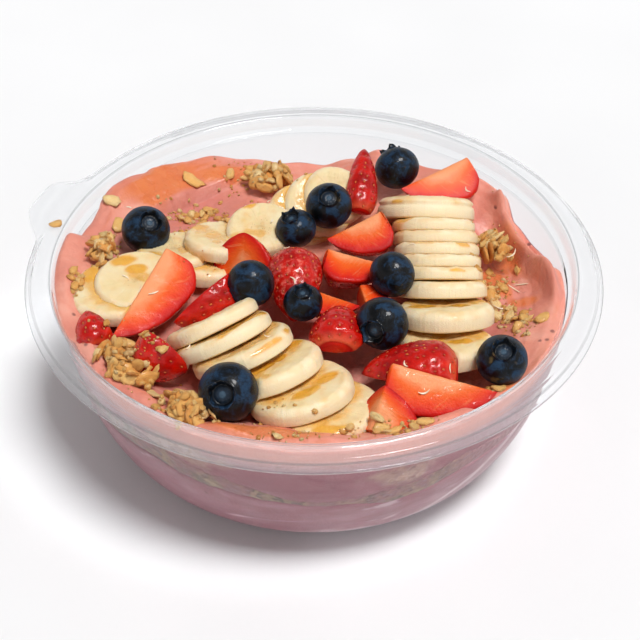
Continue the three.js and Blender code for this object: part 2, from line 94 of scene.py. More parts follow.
def wall_outside(z):
    swell = (1 - (1 - z / WALL_HEIGHT) ** 1.81) ** (1 / 2.32)
    return mix(BASE_RADIUS, WALL_TOP_RADIUS, swell)


def sheet_middle():
    """Where the middle of the sheet runs, from the centre of the base to the skirt's edge."""
    wall = [(wall_outside(WALL_HEIGHT * (i / 44) ** 2), WALL_HEIGHT * (i / 44) ** 2) for i in range(45)]
    line = [(0.0, SHEET / 2), (25.0, SHEET / 2), (42.0, SHEET / 2)]
    for before, point, after in zip([(42.0, 0.0)] + wall, wall, wall[1:]):
        along = Vector(after) - Vector(before)
        inward = Vector((-along.y, along.x)).normalized() * (SHEET / 2)
        line.append((point[0] + inward.x, point[1] + inward.y))
    return line + rounded(RIM_CORNERS)


SHEET_LINE = sheet_middle()


def turned(count, steps, place, closed=True):
    """A round body. Point number k of its outline, at an angle, goes where place(k, angle) says."""
    shape = bmesh.new()
    chain = [shape.verts.new((count + k, 0, k)) for k in range(count)]
    links = [shape.edges.new(pair) for pair in zip(chain, chain[1:])]
    bmesh.ops.spin(
        shape, geom=chain + links, cent=(0, 0, 0), axis=(0, 0, 1), angle=math.tau, steps=steps,
        use_merge=True,
    )
    poles = {0: [], count - 1: []} if closed else {}
    for vert in shape.verts:
        k = round(vert.co.z)
        vert.co = place(k, math.atan2(vert.co.y, vert.co.x))
        if k in poles:
            poles[k].append(vert)
    for ring in poles.values():
        middle = sum((vert.co for vert in ring), Vector()) / len(ring)
        for vert in ring:
            vert.co = middle
    bmesh.ops.remove_doubles(shape, verts=shape.verts, dist=1e-4)
    bmesh.ops.recalc_face_normals(shape, faces=shape.faces)
    return shape


def polar(radius, angle, z):
    return Vector((radius * math.cos(angle), radius * math.sin(angle), z))


def press(shape, above):
    """Lets a soft piece give way, downwards, to the pieces that lie on it."""
    for low, high, skin in above:
        for vert in shape.verts:
            if any(c < a or c > b for c, a, b in zip(vert.co, low, high)):
                continue
            spot, normal, _, _ = skin.find_nearest(vert.co)
            if (vert.co - spot).dot(normal) < 0:
                foot, _, _, _ = skin.ray_cast(vert.co, Vector((0, 0, -1)))
                if foot is not None:
                    vert.co.z = foot.z - PRESSED_CLEAR


def lay_over(shape, above):
    """Adds a piece to those that press into the pieces under it."""
    low = [min(v.co[i] for v in shape.verts) for i in range(3)]
    high = [max(v.co[i] for v in shape.verts) for i in range(3)]
    above.append((low, high, BVHTree.FromBMesh(shape)))


def finished(name, shape, materials, slot, *nodes):
    """The object made of a shape in millimetres. It rides on the part and stands for the nodes."""
    bmesh.ops.scale(shape, vec=(MM, MM, MM), verts=shape.verts)
    for face in shape.faces:
        face.smooth = True
    mesh = bpy.data.meshes.new(name)
    shape.to_mesh(mesh)
    shape.free()
    for material in materials:
        mesh.materials.append(material)
    piece = bpy.data.objects.new(name, mesh)
    bpy.context.scene.collection.objects.link(piece)
    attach(piece, "root")
    if nodes:
        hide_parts(*nodes)
    return piece


def tint(red, green, blue):
    """A colour as it looks, from 0 to 255, in the linear numbers that a shader takes."""
    return tuple(((c / 255 + 0.055) / 1.055) ** 2.4 for c in (red, green, blue)) + (1.0,)


def new_material(name):
    """A material, its node tree and its surface shader."""
    material = bpy.data.materials.new(name)
    material.use_nodes = True
    return material, material.node_tree, material.node_tree.nodes["Principled BSDF"]


def add(tree, kind, inputs=(), **settings):
    """A shader node, with its settings and the values or links of its inputs."""
    made = tree.nodes.new("ShaderNode" + kind)
    for name, value in settings.items():
        setattr(made, name, value)
    for socket, value in dict(inputs).items():
        if isinstance(value, bpy.types.NodeSocket):
            tree.links.new(value, made.inputs[socket])
        else:
            made.inputs[socket].default_value = value
    return made


def feed(tree, shader, **inputs):
    """Sets or links the shader's inputs, whose names are given with _ for each space."""
    for name, value in inputs.items():
        socket = shader.inputs[name.replace("_", " ")]
        if isinstance(value, bpy.types.NodeSocket):
            tree.links.new(value, socket)
        else:
            socket.default_value = value


def ramp(tree, factor, *stops):
    """A colour ramp through stops of (position, colour)."""
    made = tree.nodes.new("ShaderNodeValToRGB")
    elements = made.color_ramp.elements
    while len(elements) < len(stops):
        elements.new(0.5)
    for element, (position, colour) in zip(elements, stops):
        element.position = position
        element.color = colour
    tree.links.new(factor, made.inputs["Fac"])
    return made.outputs["Color"]


def blend_colours(tree, factor, first, second):
    made = add(tree, "Mix", data_type="RGBA")
    pick = {"Factor": made.inputs[0], "A": made.inputs[6], "B": made.inputs[7]}
    for name, value in (("Factor", factor), ("A", first), ("B", second)):
        if isinstance(value, bpy.types.NodeSocket):
            tree.links.new(value, pick[name])
        else:
            pick[name].default_value = value
    return made.outputs[2]


def number(tree, operation, *values):
    made = add(tree, "Math", operation=operation)
    for socket, value in zip(made.inputs, values):
        if isinstance(value, bpy.types.NodeSocket):
            tree.links.new(value, socket)
        else:
            socket.default_value = value
    return made.outputs[0]


def times(tree, first, second):
    return number(tree, "MULTIPLY", first, second)


def spread(tree, value, from_low, from_high, to_low=0.0, to_high=1.0):
    """The value, eased from one range to another."""
    ends = {"From Min": from_low, "From Max": from_high, "To Min": to_low, "To Max": to_high}
    made = add(tree, "MapRange", {"Value": value, **ends}, interpolation_type="SMOOTHSTEP")
    return made.outputs["Result"]


def clouds(tree, where, scale, detail=3.0, roughness=0.5, distortion=0.0):
    """Soft noise, with scale in patches to the metre."""
    kind = {"Scale": scale, "Detail": detail, "Roughness": roughness, "Distortion": distortion}
    return add(tree, "TexNoise", {"Vector": where, **kind}).outputs["Fac"]


def relief(tree, height, distance, under=None):
    """A bump of that height in metres, on top of another."""
    inputs = {"Height": height, "Distance": distance, "Strength": 1.0}
    if under is not None:
        inputs["Normal"] = under
    return add(tree, "Bump", inputs).outputs["Normal"]


def object_place(tree):
    return add(tree, "TexCoord").outputs["Object"]


def new_group(name, inputs, outputs):
    """An effect that several materials share: its tree, what it is given and what it puts out."""
    tree = bpy.data.node_groups.new(name, "ShaderNodeTree")
    for way, sockets in (("INPUT", inputs), ("OUTPUT", outputs)):
        for socket, kind in sockets.items():
            tree.interface.new_socket(socket, in_out=way, socket_type="NodeSocket" + kind)
    return tree, tree.nodes.new("NodeGroupInput").outputs, tree.nodes.new("NodeGroupOutput").inputs


grain_group, given, wanted = new_group(
    "fine_grain",
    {"Place": "Vector", "Scale": "Float", "Detail": "Float", "Raggedness": "Float", "Height": "Float"},
    {"Normal": "Vector"},
)
rough = clouds(grain_group, given["Place"], given["Scale"], given["Detail"], given["Raggedness"])
grain_group.links.new(relief(grain_group, rough, given["Height"]), wanted["Normal"])

GLOSS_VALUES = ("Scale", "Detail", "Raggedness", "Low", "High", "Least", "Most")
gloss_group, given, wanted = new_group(
    "uneven_gloss", {"Place": "Vector", **dict.fromkeys(GLOSS_VALUES, "Float")}, {"Roughness": "Float"}
)
handled = clouds(gloss_group, given["Place"], given["Scale"], given["Detail"], given["Raggedness"])
uneven = spread(gloss_group, handled, given["Low"], given["High"], given["Least"], given["Most"])
gloss_group.links.new(uneven, wanted["Roughness"])


def fine_grain(tree, place, scale, detail, raggedness, height):
    """The normal of a finely uneven surface, height in metres from its lows to its highs."""
    kind = {"Scale": scale, "Detail": detail, "Raggedness": raggedness, "Height": height}
    return add(tree, "Group", {"Place": place, **kind}, node_tree=grain_group).outputs["Normal"]


def uneven_gloss(tree, place, *values):
    """The roughness of a surface that is duller in patches. The values are those of the group."""
    kind = dict(zip(GLOSS_VALUES, values))
    return add(tree, "Group", {"Place": place, **kind}, node_tree=gloss_group).outputs["Roughness"]


def tongue(angle, radius):
    """How far out of the round the rim is drawn here."""
    off = abs((angle - TONGUE_ANGLE + math.pi) % math.tau - math.pi)
    aside = TONGUE_CENTRE_RADIUS * math.sin(min(off, 1.5))
    return (1 - ease(aside, *TONGUE_SIDES)) * ease(radius, *TONGUE_STARTS)


def dish_point(k, angle):
    radius, z = SHEET_LINE[k]
    pull = tongue(angle, radius)
    return polar(radius + TONGUE_REACH * pull, angle, mix(z, TONGUE_HEIGHT, pull))


def clear_plastic(name, shade, clearness, bending, gloss):
    """The clear sheet: a little milky, more so where it was stretched least. Light passes it."""
    material, tree, shader = new_material(name)
    place = object_place(tree)
    feed(
        tree, shader, Base_Color=(shade, shade + 0.01, shade + 0.02, 1),
        Roughness=uneven_gloss(tree, place, 45, 4, 0.6, 0.35, 0.7, 0.03, 0.07), IOR=bending,
        Transmission_Weight=clearness, Coat_Weight=gloss, Coat_Roughness=0.03,
        Normal=fine_grain(tree, place, 22, 0, 0.5, 0.00001),
    )
    in_shadow = add(tree, "LightPath").outputs["Is Shadow Ray"]
    through = add(tree, "BsdfTransparent", {"Color": (0.93, 0.94, 0.945, 1)}).outputs["BSDF"]
    surface = add(tree, "MixShader", {0: in_shadow, 1: shader.outputs["BSDF"], 2: through})
    tree.links.new(surface.outputs["Shader"], tree.nodes["Material Output"].inputs["Surface"])
    return material


wall_plastic = clear_plastic("clear_wall_plastic", 0.93, 0.97, 1.005, 0.4)
rim_plastic = clear_plastic("milky_rim_plastic", 0.93, 0.92, 1.05, 0.8)
# Painted shade: the sheet is darker along the bends, standing in for the thin dark lines that the bends
# show by bending the light.
bend_plastic_painted_dark = clear_plastic("plastic_bend_painted_dark_lines", 0.6, 0.85, 1.05, 1.0)
sheet = turned(len(SHEET_LINE), 288, dish_point, closed=False)
# Faces along the bends, away from the tongue, take the darker plastic: painted dark lines.
for face in sheet.faces:
    middle = face.calc_center_median()
    out = middle.xy.length
    on_painted_dark_line = any(abs(out - bend) < BEND_HALF_WIDTH for bend in BENDS)
    if out > TONGUE_STARTS[0] and tongue(math.atan2(middle.y, middle.x), 90) > 0.02:
        on_painted_dark_line = False
    face.material_index = 2 if on_painted_dark_line else int(out > RIM_START)
dish = finished("clear_dish", sheet, [wall_plastic, rim_plastic, bend_plastic_painted_dark], "clear_plastic", "dish")
thickness = dish.modifiers.new("sheet", "SOLIDIFY")
thickness.thickness = SHEET * MM
thickness.offset = 0
thickness.use_even_offset = True

# ---------------------------------------------------------------- the blends
# Frozen acai and banana, blended thick and spooned in soft, so it keeps the marks of the spoon.
# A mauve batch fills the bottom of the dish. A salmon batch lies over the granola and was smeared
# up to the rim, with a crease at the back left and a lip at the right that folds off the wall.
ACAI_MIDDLE = 47
MOUNDS = [
    (-46, 8, 4.5, 26), (4, 4, 3.5, 22), (32, 46, 4, 12), (-24, -71, 2.2, 12), (-4, -75, 1.6, 12),
    (8, 41.5, 5.5, 7), (-5, 40, 5, 7),
]
EDGE_LEVELS = [
    (-178, 60), (-166, 59), (-150, 57), (-118, 56), (-90, 57), (-62, 57), (-30, 55.5), (-8, 54),
    (4, 53), (13, 48), (24, 46), (31, 47), (36, 54), (44, 54.5), (62, 50), (73, 52.5), (80, 47.5),
    (88, 44.5), (97, 45.5), (108, 49), (118, 53.5), (135, 57.5), (146, 59), (152, 57.5), (158, 55),
    (163, 55), (168, 60),
]
BAND_LEVELS = [
    (-160, 38), (-130, 41), (-112, 36.5), (-90, 31.5), (-72, 32), (-52, 37), (-20, 36), (60, 34),
]
BAND_THICKNESS = [
    (-160, 5), (-128, 8), (-108, 7), (-96, 2.4), (-82, 2), (-72, 6), (-52, 7), (-30, 4), (60, 5),
]
HONEY_POOLS = [
    (-50, 52, 26, 7, 42), (-30, 62, 16, 5, 22), (-12, 60, 9, 5, 5), (61.5, 23, 15, 6, 100),
    (58, 8, 12, 6.5, 100), (66, -4, 6, 4, 0), (-14, -71, 24, 5, -4), (36, -58, 9, 4, 20),
    (-52, 44, 10, 4, 50), (54, -50, 7, 5, 0),
]
SIDE_STEPS = 14
TOP_STEPS = 92
FILLED_TO_RADIUS = 81.7
LOWER_FLOOR_RADII = (0, 20, 36, 42)
LOWER_SIDE_STEPS = 30


def contents_radius(z):
    """How far out the contents reach at a height: just into the sheet, so that no air shows."""
    last = SHEET_LINE[3]
    for point in SHEET_LINE[4:]:
        if point[1] >= z:
            return mix(last[0], point[0], min(max((z - last[1]) / max(point[1] - last[1], 1e-6), 0), 1))
        if point[0] > FILLED_TO_RADIUS:
            break
        last = point
    return last[0]


def round_the_dish(stations, angle):
    """Eases between the stations (angle in degrees, value) that go once round the dish."""
    turn = (math.degrees(angle) - stations[0][0]) % 360 + stations[0][0]
    closed = stations + [(stations[0][0] + 360, stations[0][1])]
    for (start, low), (end, high) in zip(closed, closed[1:]):
        if turn <= end:
            return mix(low, high, ease(turn, start, end))


def bell(distance, width):
    return math.exp(-((distance / width) ** 2))


def spoon_marks(angle, radius):
    """The crease, the folded lip, the mounds under the fruit and the swells between them."""
    degrees = (math.degrees(angle) + 180) % 360 - 180
    past = radius - (65 + 3 * ease(118 - degrees, 0, 8))
    crease = bell(degrees - 130, 19) * (2.2 * bell(past, 7) if past > 0 else -2 * bell(past, 9))
    crest = 71 + 6 * bell(degrees - 40, 9) + 5 * bell(degrees + 8, 14)
    lip = ease(degrees, -14, 2) * (1 - ease(degrees, 34, 42))
    lip *= 6.5 * bell(radius - crest, 2.6) - 2.5 * bell(radius - crest + 9, 6)
    x, y = radius * math.cos(angle), radius * math.sin(angle)
    swells = 0.7 * math.sin(0.13 * x + 0.07 * y) + 0.6 * math.sin(0.21 * y - 0.11 * x + 1)
    mounds = sum(rise * bell(math.hypot(x - mx, y - my), width) for mx, my, rise, width in MOUNDS)
    return crease + lip + swells + mounds


def smears(angle, radius):
    """The finer marks: streaks drawn round the dish, soft lumps and the grain of the blend."""
    x, y = radius * math.cos(angle), radius * math.sin(angle)
    streaks = noise.noise(Vector((radius / 1.6, 2.2 * math.cos(angle) + 5, 2.2 * math.sin(angle))))
    lumps = noise.fractal(Vector((x / 11, y / 11, 3)), 0.7, 2.0, 3)
    grain = noise.fractal(Vector((x / 2.1, y / 2.1, 9)), 0.8, 2.0, 2)
    return 0.32 * streaks * ease(radius, 0, 12) + 0.55 * lumps + 0.1 * grain


def pooled(x, y):
    """How much honey lies on the blend here, from 0 to 1."""
    most = 0.0
    for px, py, long, wide, turn in HONEY_POOLS:
        away = Matrix.Rotation(math.radians(-turn), 2) @ Vector((x - px, y - py))
        off = math.hypot(away.x / long, away.y / wide)
        most = max(most, 1 - off)
    streak = noise.fractal(Vector((math.hypot(x, y) / 3, 4 * math.atan2(y, x), 1)), 0.8, 2.0, 3)
    return ease(most + 0.25 * streak, 0.0, 0.5)


def top_height(angle, share):
    edge = round_the_dish(EDGE_LEVELS, angle) + 0.4 * noise.noise(polar(9, angle, 2))
    radius = share * contents_radius(edge)
    height = mix(edge, ACAI_MIDDLE, ease(1 - share, 0, 0.3))
    marks = spoon_marks(angle, radius) * ease(1 - share, 0, 0.05)
    return height + marks + smears(angle, radius) * ease(1 - share, 0, 0.02) - 0.5 * bell(1 - share, 0.006)


def band_surface(angle, share, sign):
    level = round_the_dish(BAND_LEVELS, angle)
    half = round_the_dish(BAND_THICKNESS, angle) / 2
    ragged = 0.9 * noise.fractal(polar(11, angle, 5 * sign), 0.6, 2.0, 3)
    ripple = 0.4 * math.sin(5 * angle + 2 * sign) + ragged
    return mix(level + ripple + sign * half, 35 + 2.5 * sign, ease(1 - share, 0, 0.4))


def upper_point(k, angle):
    """Out from the middle below to the wall, up the wall, and over the top to the middle."""
    if k == 0:
        return Vector((0, 0, 37.5))
    low = band_surface(angle, 1, 1)
    high = top_height(angle, 1)
    if k <= SIDE_STEPS:
        z = mix(low, high, (k - 1) / (SIDE_STEPS - 1))
        return polar(contents_radius(z), angle, z)
    share = 1 - ((k - SIDE_STEPS) / TOP_STEPS) ** 1.25
    return polar(share * contents_radius(high), angle, top_height(angle, share))


def pale_smear(angle, z):
    """Where the blend thins out against the wall: at the foot and in a streak up the right side."""
    degrees = math.degrees(angle)
    ragged = noise.fractal(Vector((degrees / 7, z / 6, 3)), 0.8, 2.0, 3)
    foot = ease(12.5 + 2.5 * ragged - z, 0, 2.5) * ease(degrees, -104, -78) * (1 - ease(degrees, -46, -32))
    streak = bell(z - 13 - 0.85 * (degrees + 60) - ragged, 1.5) * ease(degrees, -66, -58)
    return max(0.95 * foot, streak * (1 - ease(degrees, -30, -22)))


def oats_behind_wall(angle, z):
    """Where single oats were pushed up from the granola between the blend and the wall."""
    degrees = math.degrees(angle)
    ragged = noise.fractal(Vector((degrees / 5, z / 4, 8)), 0.8, 2.0, 3)
    right = bell(degrees + 70, 9) * bell(z - 42, 5)
    left = bell(degrees + 119, 12) * bell(z - 46, 5)
    return ease(max(right, left) + 0.35 * ragged, 0.35, 0.7)


# The tone of a vert on the wall tells where oats lie behind the wall and where the blend is pale.
# Elsewhere it tells how much honey lies there and how deep under the edge of the blend it is,
# which darkens the top there as painted shade.
upper = turned(SIDE_STEPS + TOP_STEPS + 1, 420, upper_point)
tone = upper.verts.layers.float_color.new("tone")
for vert in upper.verts:
    x, y, z = vert.co
    rim = contents_radius(z)
    honey = pooled(x, y)
    against_wall = ease(math.hypot(x, y), rim - 0.5, rim - 0.1)
    # How deep a vert lies under the edge of the blend; the material paints the deeper top darker, as shade.
    deep = ease(round_the_dish(EDGE_LEVELS, math.atan2(y, x)) - z, 1.5, 9)
    if against_wall < 0.5:
        vert[tone] = (against_wall, honey, deep, 1)
        vert.co.z += 0.5 * honey
    else:
        vert[tone] = (1, oats_behind_wall(math.atan2(y, x), z), 0, 1)


def tone_channels(tree):
    """The three values that the piece's verts hold for its material."""
    painted = add(tree, "Attribute", attribute_name="tone").outputs["Color"]
    return add(tree, "SeparateColor", {"Color": painted}).outputs[:3]


def passing(tree, value, places, colours):
    """Goes on from one colour to the next as the value passes the places."""
    colour = colours[0]
    for low, high, following in zip(places, places[1:], colours[1:]):
        share = add(tree, "MapRange", {"Value": value, "From Min": low, "From Max": high})
        colour = blend_colours(tree, share.outputs["Result"], colour, following)
    return colour


BLEND_TINTS = (
    "Top Dark", "Top Middle", "Top Light", "Top Deep Shade", "Top Pale",
    "Side Dark", "Side Middle", "Side Light", "Side Pale",
)
blend_look, given, wanted = new_group(
    "blend_look",
    {
        "Place": "Vector", "Wall": "Float", "Honey": "Float", "Deep": "Float",
        **dict.fromkeys(BLEND_TINTS, "Color"),
    },
    {"Colour": "Color", "Roughness": "Float", "Coat Weight": "Float"},
)
tree = blend_look
where, wall, honey, deep = [given[name] for name in ("Place", "Wall", "Honey", "Deep")]
patches = clouds(tree, where, 55, 4, 0.55, 0.6)
top = passing(tree, patches, (0.32, 0.55, 0.72), [given[name] for name in BLEND_TINTS[:3]])
# Painted shade: the deeper the top lies under the edge of the blend, the darker it is painted.
top = blend_colours(tree, times(tree, deep, 0.75), top, given["Top Deep Shade"])
pale = spread(tree, clouds(tree, where, 34, 3, 0.5, 1.5), 0.56, 0.7, 0.0, 0.5)
top = blend_colours(tree, pale, top, given["Top Pale"])
glazed = blend_colours(tree, clouds(tree, where, 160, 3), tint(208, 96, 38), tint(232, 136, 72))
top = blend_colours(tree, times(tree, honey, 0.85), top, glazed)
drawn = add(tree, "Mapping", {"Vector": where, "Scale": (1, 1, 3.4)}).outputs["Vector"]
smeared = clouds(tree, drawn, 38, 4, 0.55, 1.2)
side = passing(tree, smeared, (0.3, 0.55, 0.75), [given[name] for name in BLEND_TINTS[5:8]])
pale = spread(tree, clouds(tree, drawn, 22, 3, 0.5, 2.0), 0.6, 0.7)
side = blend_colours(tree, times(tree, pale, 0.75), side, given["Side Pale"])
height = add(tree, "SeparateXYZ", {"Vector": where}).outputs["Z"]
# Painted light: near the top, where light comes in through the rim, the side is painted in the top's
# lighter colour.
side = blend_colours(tree, spread(tree, height, 0.0465, 0.0535, 0.0, 0.9), side, given["Top Middle"])
# Painted reflection: a pale band at the very foot of the side, where the bright floor shows in the wall.
side = blend_colours(tree, spread(tree, height, 0.005, 0.0015, 0.0, 0.5), side, given["Side Pale"])
side = blend_colours(tree, times(tree, deep, 0.85), side, tint(228, 205, 211))
pushed = add(tree, "TexVoronoi", {"Vector": where, "Scale": 520.0}).outputs["Color"]
pushed_tone = add(tree, "SeparateColor", {"Color": pushed}).outputs[0]
oats = ramp(
    tree, pushed_tone, (0.0, tint(140, 104, 88)), (0.5, tint(168, 134, 112)), (1.0, tint(192, 162, 134))
)
side = blend_colours(tree, times(tree, honey, 0.6), side, oats)
colour = blend_colours(tree, wall, top, side)
specks = add(tree, "TexVoronoi", {"Vector": where, "Scale": 190.0}).outputs["Distance"]
in_patches = spread(tree, clouds(tree, where, 75, 2), 0.56, 0.62)
specks = times(tree, spread(tree, specks, 0.2, 0.08), in_patches)
colour = blend_colours(tree, times(tree, specks, 0.75), colour, tint(92, 44, 44))
wet = clouds(tree, where, 120, 3)
dull = spread(tree, wet, 0.35, 0.65, 0.46, 0.66)
shine = spread(tree, wet, 0.66, 0.5, 0.0, 0.1)
tree.links.new(colour, wanted["Colour"])
tree.links.new(number(tree, "SUBTRACT", dull, times(tree, honey, 0.26)), wanted["Roughness"])
tree.links.new(number(tree, "ADD", shine, times(tree, honey, 0.2)), wanted["Coat Weight"])


def blend_material(name, *tints):
    """Thick blend: moist and a little clear, with soft lumps and a fine grain."""
    material, tree, shader = new_material(name)
    where = object_place(tree)
    wall, honey, deep = tone_channels(tree)
    values = {"Place": where, "Wall": wall, "Honey": honey, "Deep": deep, **dict(zip(BLEND_TINTS, tints))}
    look = add(tree, "Group", values, node_tree=blend_look).outputs
    grain = fine_grain(tree, where, 900, 4, 0.6, 0.00022)
    feed(
        tree, shader, Base_Color=look["Colour"], Roughness=look["Roughness"],
        Coat_Weight=look["Coat Weight"], Coat_Roughness=0.16, Subsurface_Weight=0.12,
        Subsurface_Radius=(0.003, 0.0018, 0.0014), Subsurface_Scale=1.0,
        Normal=relief(tree, clouds(tree, where, 260, 3), 0.0005, grain),
    )
    return material


salmon_blend = blend_material(
    "salmon_blend",
    tint(212, 126, 110), tint(224, 142, 122), tint(232, 158, 138), tint(196, 118, 108), tint(238, 176, 156),
    tint(142, 82, 92), tint(156, 98, 106), tint(170, 116, 124), tint(204, 166, 172),
)
blend_below = []
lay_over(upper, blend_below)
finished("acai_salmon_blend", upper, [salmon_blend], "acai_salmon", "acai_upper")


def lower_point(k, angle):
    """Out over the base, up the wall to the granola, and back to the middle under it."""
    high = band_surface(angle, 1, -1) - 0.1
    up = k + 1 - len(LOWER_FLOOR_RADII)
    if up <= 0:
        return polar(LOWER_FLOOR_RADII[k], angle, SHEET / 2)
    if up <= LOWER_SIDE_STEPS:
        z = mix(SHEET / 2 + 0.02, high, (up / LOWER_SIDE_STEPS) ** 2)
        return polar(contents_radius(z), angle, z)
    share = 1 - (up - LOWER_SIDE_STEPS) / 5
    return polar(share * contents_radius(high), angle, mix(32, high, share))


lower = turned(len(LOWER_FLOOR_RADII) + LOWER_SIDE_STEPS + 5, 256, lower_point)
tone = lower.verts.layers.float_color.new("tone")
for vert in lower.verts:
    vert[tone] = (1, 0, pale_smear(math.atan2(vert.co.y, vert.co.x), vert.co.z), 1)
mauve_blend = blend_material(
    "mauve_blend",
    tint(150, 92, 102), tint(166, 108, 116), tint(182, 128, 136), tint(140, 84, 92), tint(190, 140, 148),
    tint(140, 80, 92), tint(154, 96, 106), tint(172, 120, 130), tint(212, 180, 188),
)
finished("acai_mauve_blend", lower, [mauve_blend], "acai_mauve", "acai_lower")

# ---------------------------------------------------------------- the granola band
# A layer of granola sprinkled between the two blends. Through the clear wall it shows as a wavy,
# ragged, beige-grey line: oats and crumbs pressed flat against the wall, smeared with blend.
BAND_SHARES = (0.995, 0.9, 0.7, 0.4, 0)


def band_point(k, angle):
    """Out to the wall along the underside, up the wall, and back to the middle along the top."""
    low, high = band_surface(angle, 1, -1), band_surface(angle, 1, 1)
    if k <= 4:
        share = BAND_SHARES[4 - k]
        return polar(share * contents_radius(low), angle, band_surface(angle, share, -1))
    if k <= 10:
        z = mix(low, high, (k - 5) / 5)
        return polar(contents_radius(z), angle, z)
    share = BAND_SHARES[k - 11]
    return polar(share * contents_radius(high), angle, band_surface(angle, share, 1))


crushed, tree, shader = new_material("crushed_granola")
where = object_place(tree)
grains = add(tree, "TexVoronoi", {"Vector": where, "Scale": 620.0})
grain_tone = add(tree, "SeparateColor", {"Color": grains.outputs["Color"]}).outputs[0]
colour = ramp(
    tree, grain_tone, (0.0, tint(92, 70, 60)), (0.35, tint(122, 98, 86)), (0.7, tint(148, 122, 104)),
    (1.0, tint(172, 146, 122)),
)
to_the_right = spread(tree, add(tree, "SeparateXYZ", {"Vector": where}).outputs["X"], 0.03, 0.05)
smeared = spread(tree, clouds(tree, where, 130, 4, 0.6), 0.4, 0.64, 0.0, 0.7)
smeared = number(tree, "MAXIMUM", smeared, times(tree, to_the_right, 0.85))
colour = blend_colours(tree, smeared, colour, tint(156, 104, 112))
feed(
    tree, shader, Base_Color=colour, Roughness=spread(tree, grain_tone, 0, 1, 0.4, 0.7),
    Normal=relief(tree, grains.outputs["Distance"], 0.0005),
)
finished("granola_band", turned(16, 256, band_point), [crushed], "granola", "granola_layer")

# ---------------------------------------------------------------- the blueberries
# Whole blueberries, nearly black blue under a patchy grey bloom that handling has rubbed off.
# Each carries the five-pointed crown of its flower round a shallow pit with a scar.
BLUEBERRIES = [
    ("back_left", (-53.7, 18.9, 60), 15.6, (0.3, -0.44, 0.85)),
    ("back_right", (27.5, 53, 60), 14.9, (-0.3, 0.8, 0.4)),
    ("back_middle", (4.7, 25.5, 64.8), 15, (0, -0.45, 0.89)),
    ("middle", (-5.8, 15, 63.5), 13, (-0.3, -0.1, 0.95)),
    ("dark", (-19.2, -14.5, 65), 14.6, (0, 0.9, -0.3)),
    ("small", (-3.3, -21, 63), 12, (0, -0.19, 0.98)),
    ("right_upper", (23.9, -10, 65), 14, (0.3, 0.8, -0.4)),
    ("right_lower", (20.4, -31.5, 63.5), 16, (-0.44, -0.86, 0.25)),
    ("front", (-24.6, -58, 60), 17.6, (-0.2, -0.79, 0.57)),
    ("right", (55.3, -44, 60), 15.2, (0, -0.39, 0.92)),
]
BODY_RINGS = 40
CROWN_ROWS = [
    (0.495, 0.775, 0.0), (0.465, 0.785, 0.1), (0.45, 0.795, 0.45), (0.445, 0.81, 0.9), (0.435, 0.82, 1.0),
    (0.415, 0.815, 0.96), (0.39, 0.78, 0.7), (0.355, 0.72, 0.3), (0.325, 0.685, 0.0), (0.29, 0.69, 0.0),
    (0.24, 0.725, 0.0), (0.17, 0.735, 0.0), (0.12, 0.725, 0.0), (0.09, 0.72, 0.0), (0.05, 0.745, 0.0),
    (0, 0.75, 0.0),
]
toppings_above = []


def facing_matrix(facing, at):
    """Turns +Z the way the piece faces and moves it to its place."""
    turn = Vector((0, 0, 1)).rotation_difference(Vector(facing).normalized())
    return Matrix.Translation(at) @ turn.to_matrix().to_4x4()


def blueberry_point(k, angle, seed):
    """A point of a berry of radius 1 with its crown at +Z."""
    jag = noise.noise(polar(3, angle, seed))
    lobe = max(0.0, 0.5 + 0.5 * math.cos(5 * angle + 0.5 * jag)) ** 0.7 * (1 + 0.7 * jag)
    if k <= BODY_RINGS:
        slope = math.radians(mix(-90, 58, k / BODY_RINGS))
        dent = 1 + 0.018 * math.cos(slope) * noise.noise(polar(1, angle, slope + seed) * 1.6)
        return polar(dent * math.cos(slope), angle, 0.9 * dent * math.sin(slope))
    radius, z, share = CROWN_ROWS[k - BODY_RINGS - 1]
    out = radius * (1 + 0.11 * share * lobe + 0.03 * jag)
    return polar(out, angle, z + 0.16 * share * lobe + 0.01 * jag)


def blueberry(name, at, diameter, crown, seed):
    shape = turned(BODY_RINGS + 1 + len(CROWN_ROWS), 110, lambda k, angle: blueberry_point(k, angle, seed))
    own = shape.verts.layers.float_vector.new("own")
    level = shape.verts.layers.float_vector.new("level")
    for vert in shape.verts:
        vert[own] = vert.co + Vector((0, 0, 3 * seed))
        vert[level] = vert.co
    size = Matrix.Scale(diameter / 2, 4)
    bmesh.ops.transform(shape, matrix=facing_matrix(crown, at) @ size, verts=shape.verts)
    lay_over(shape, toppings_above)
    return finished("blueberry_whole_" + name, shape, [blueberry_skin], "blueberry", "blueberry_" + name)


blueberry_skin, tree, shader = new_material("blueberry_skin")
local = add(tree, "Attribute", attribute_name="own").outputs["Vector"]
raised = add(tree, "Attribute", attribute_name="level").outputs["Vector"]
patches = clouds(tree, local, 1.9, 5, 0.68, 0.5)
film = clouds(tree, local, 14, 3, 0.6)
bloom = times(tree, spread(tree, patches, 0.44, 0.62), spread(tree, film, 0.3, 0.6, 0.6, 1.0))
x, y, _ = add(tree, "SeparateXYZ", {"Vector": local}).outputs
colour = blend_colours(tree, bloom, tint(2, 4, 8), tint(28, 54, 80))
stain = spread(tree, clouds(tree, local, 1.3, 2), 0.68, 0.74, 0.0, 0.7)
colour = blend_colours(tree, stain, colour, tint(104, 84, 46))
across = add(tree, "CombineXYZ", {"X": x, "Y": y}).outputs["Vector"]
off_axis = add(tree, "VectorMath", {0: across}, operation="LENGTH").outputs["Value"]
up = add(tree, "SeparateXYZ", {"Vector": raised}).outputs["Z"]
in_pit = times(tree, spread(tree, off_axis, 0.4, 0.36), spread(tree, up, 0.5, 0.6))
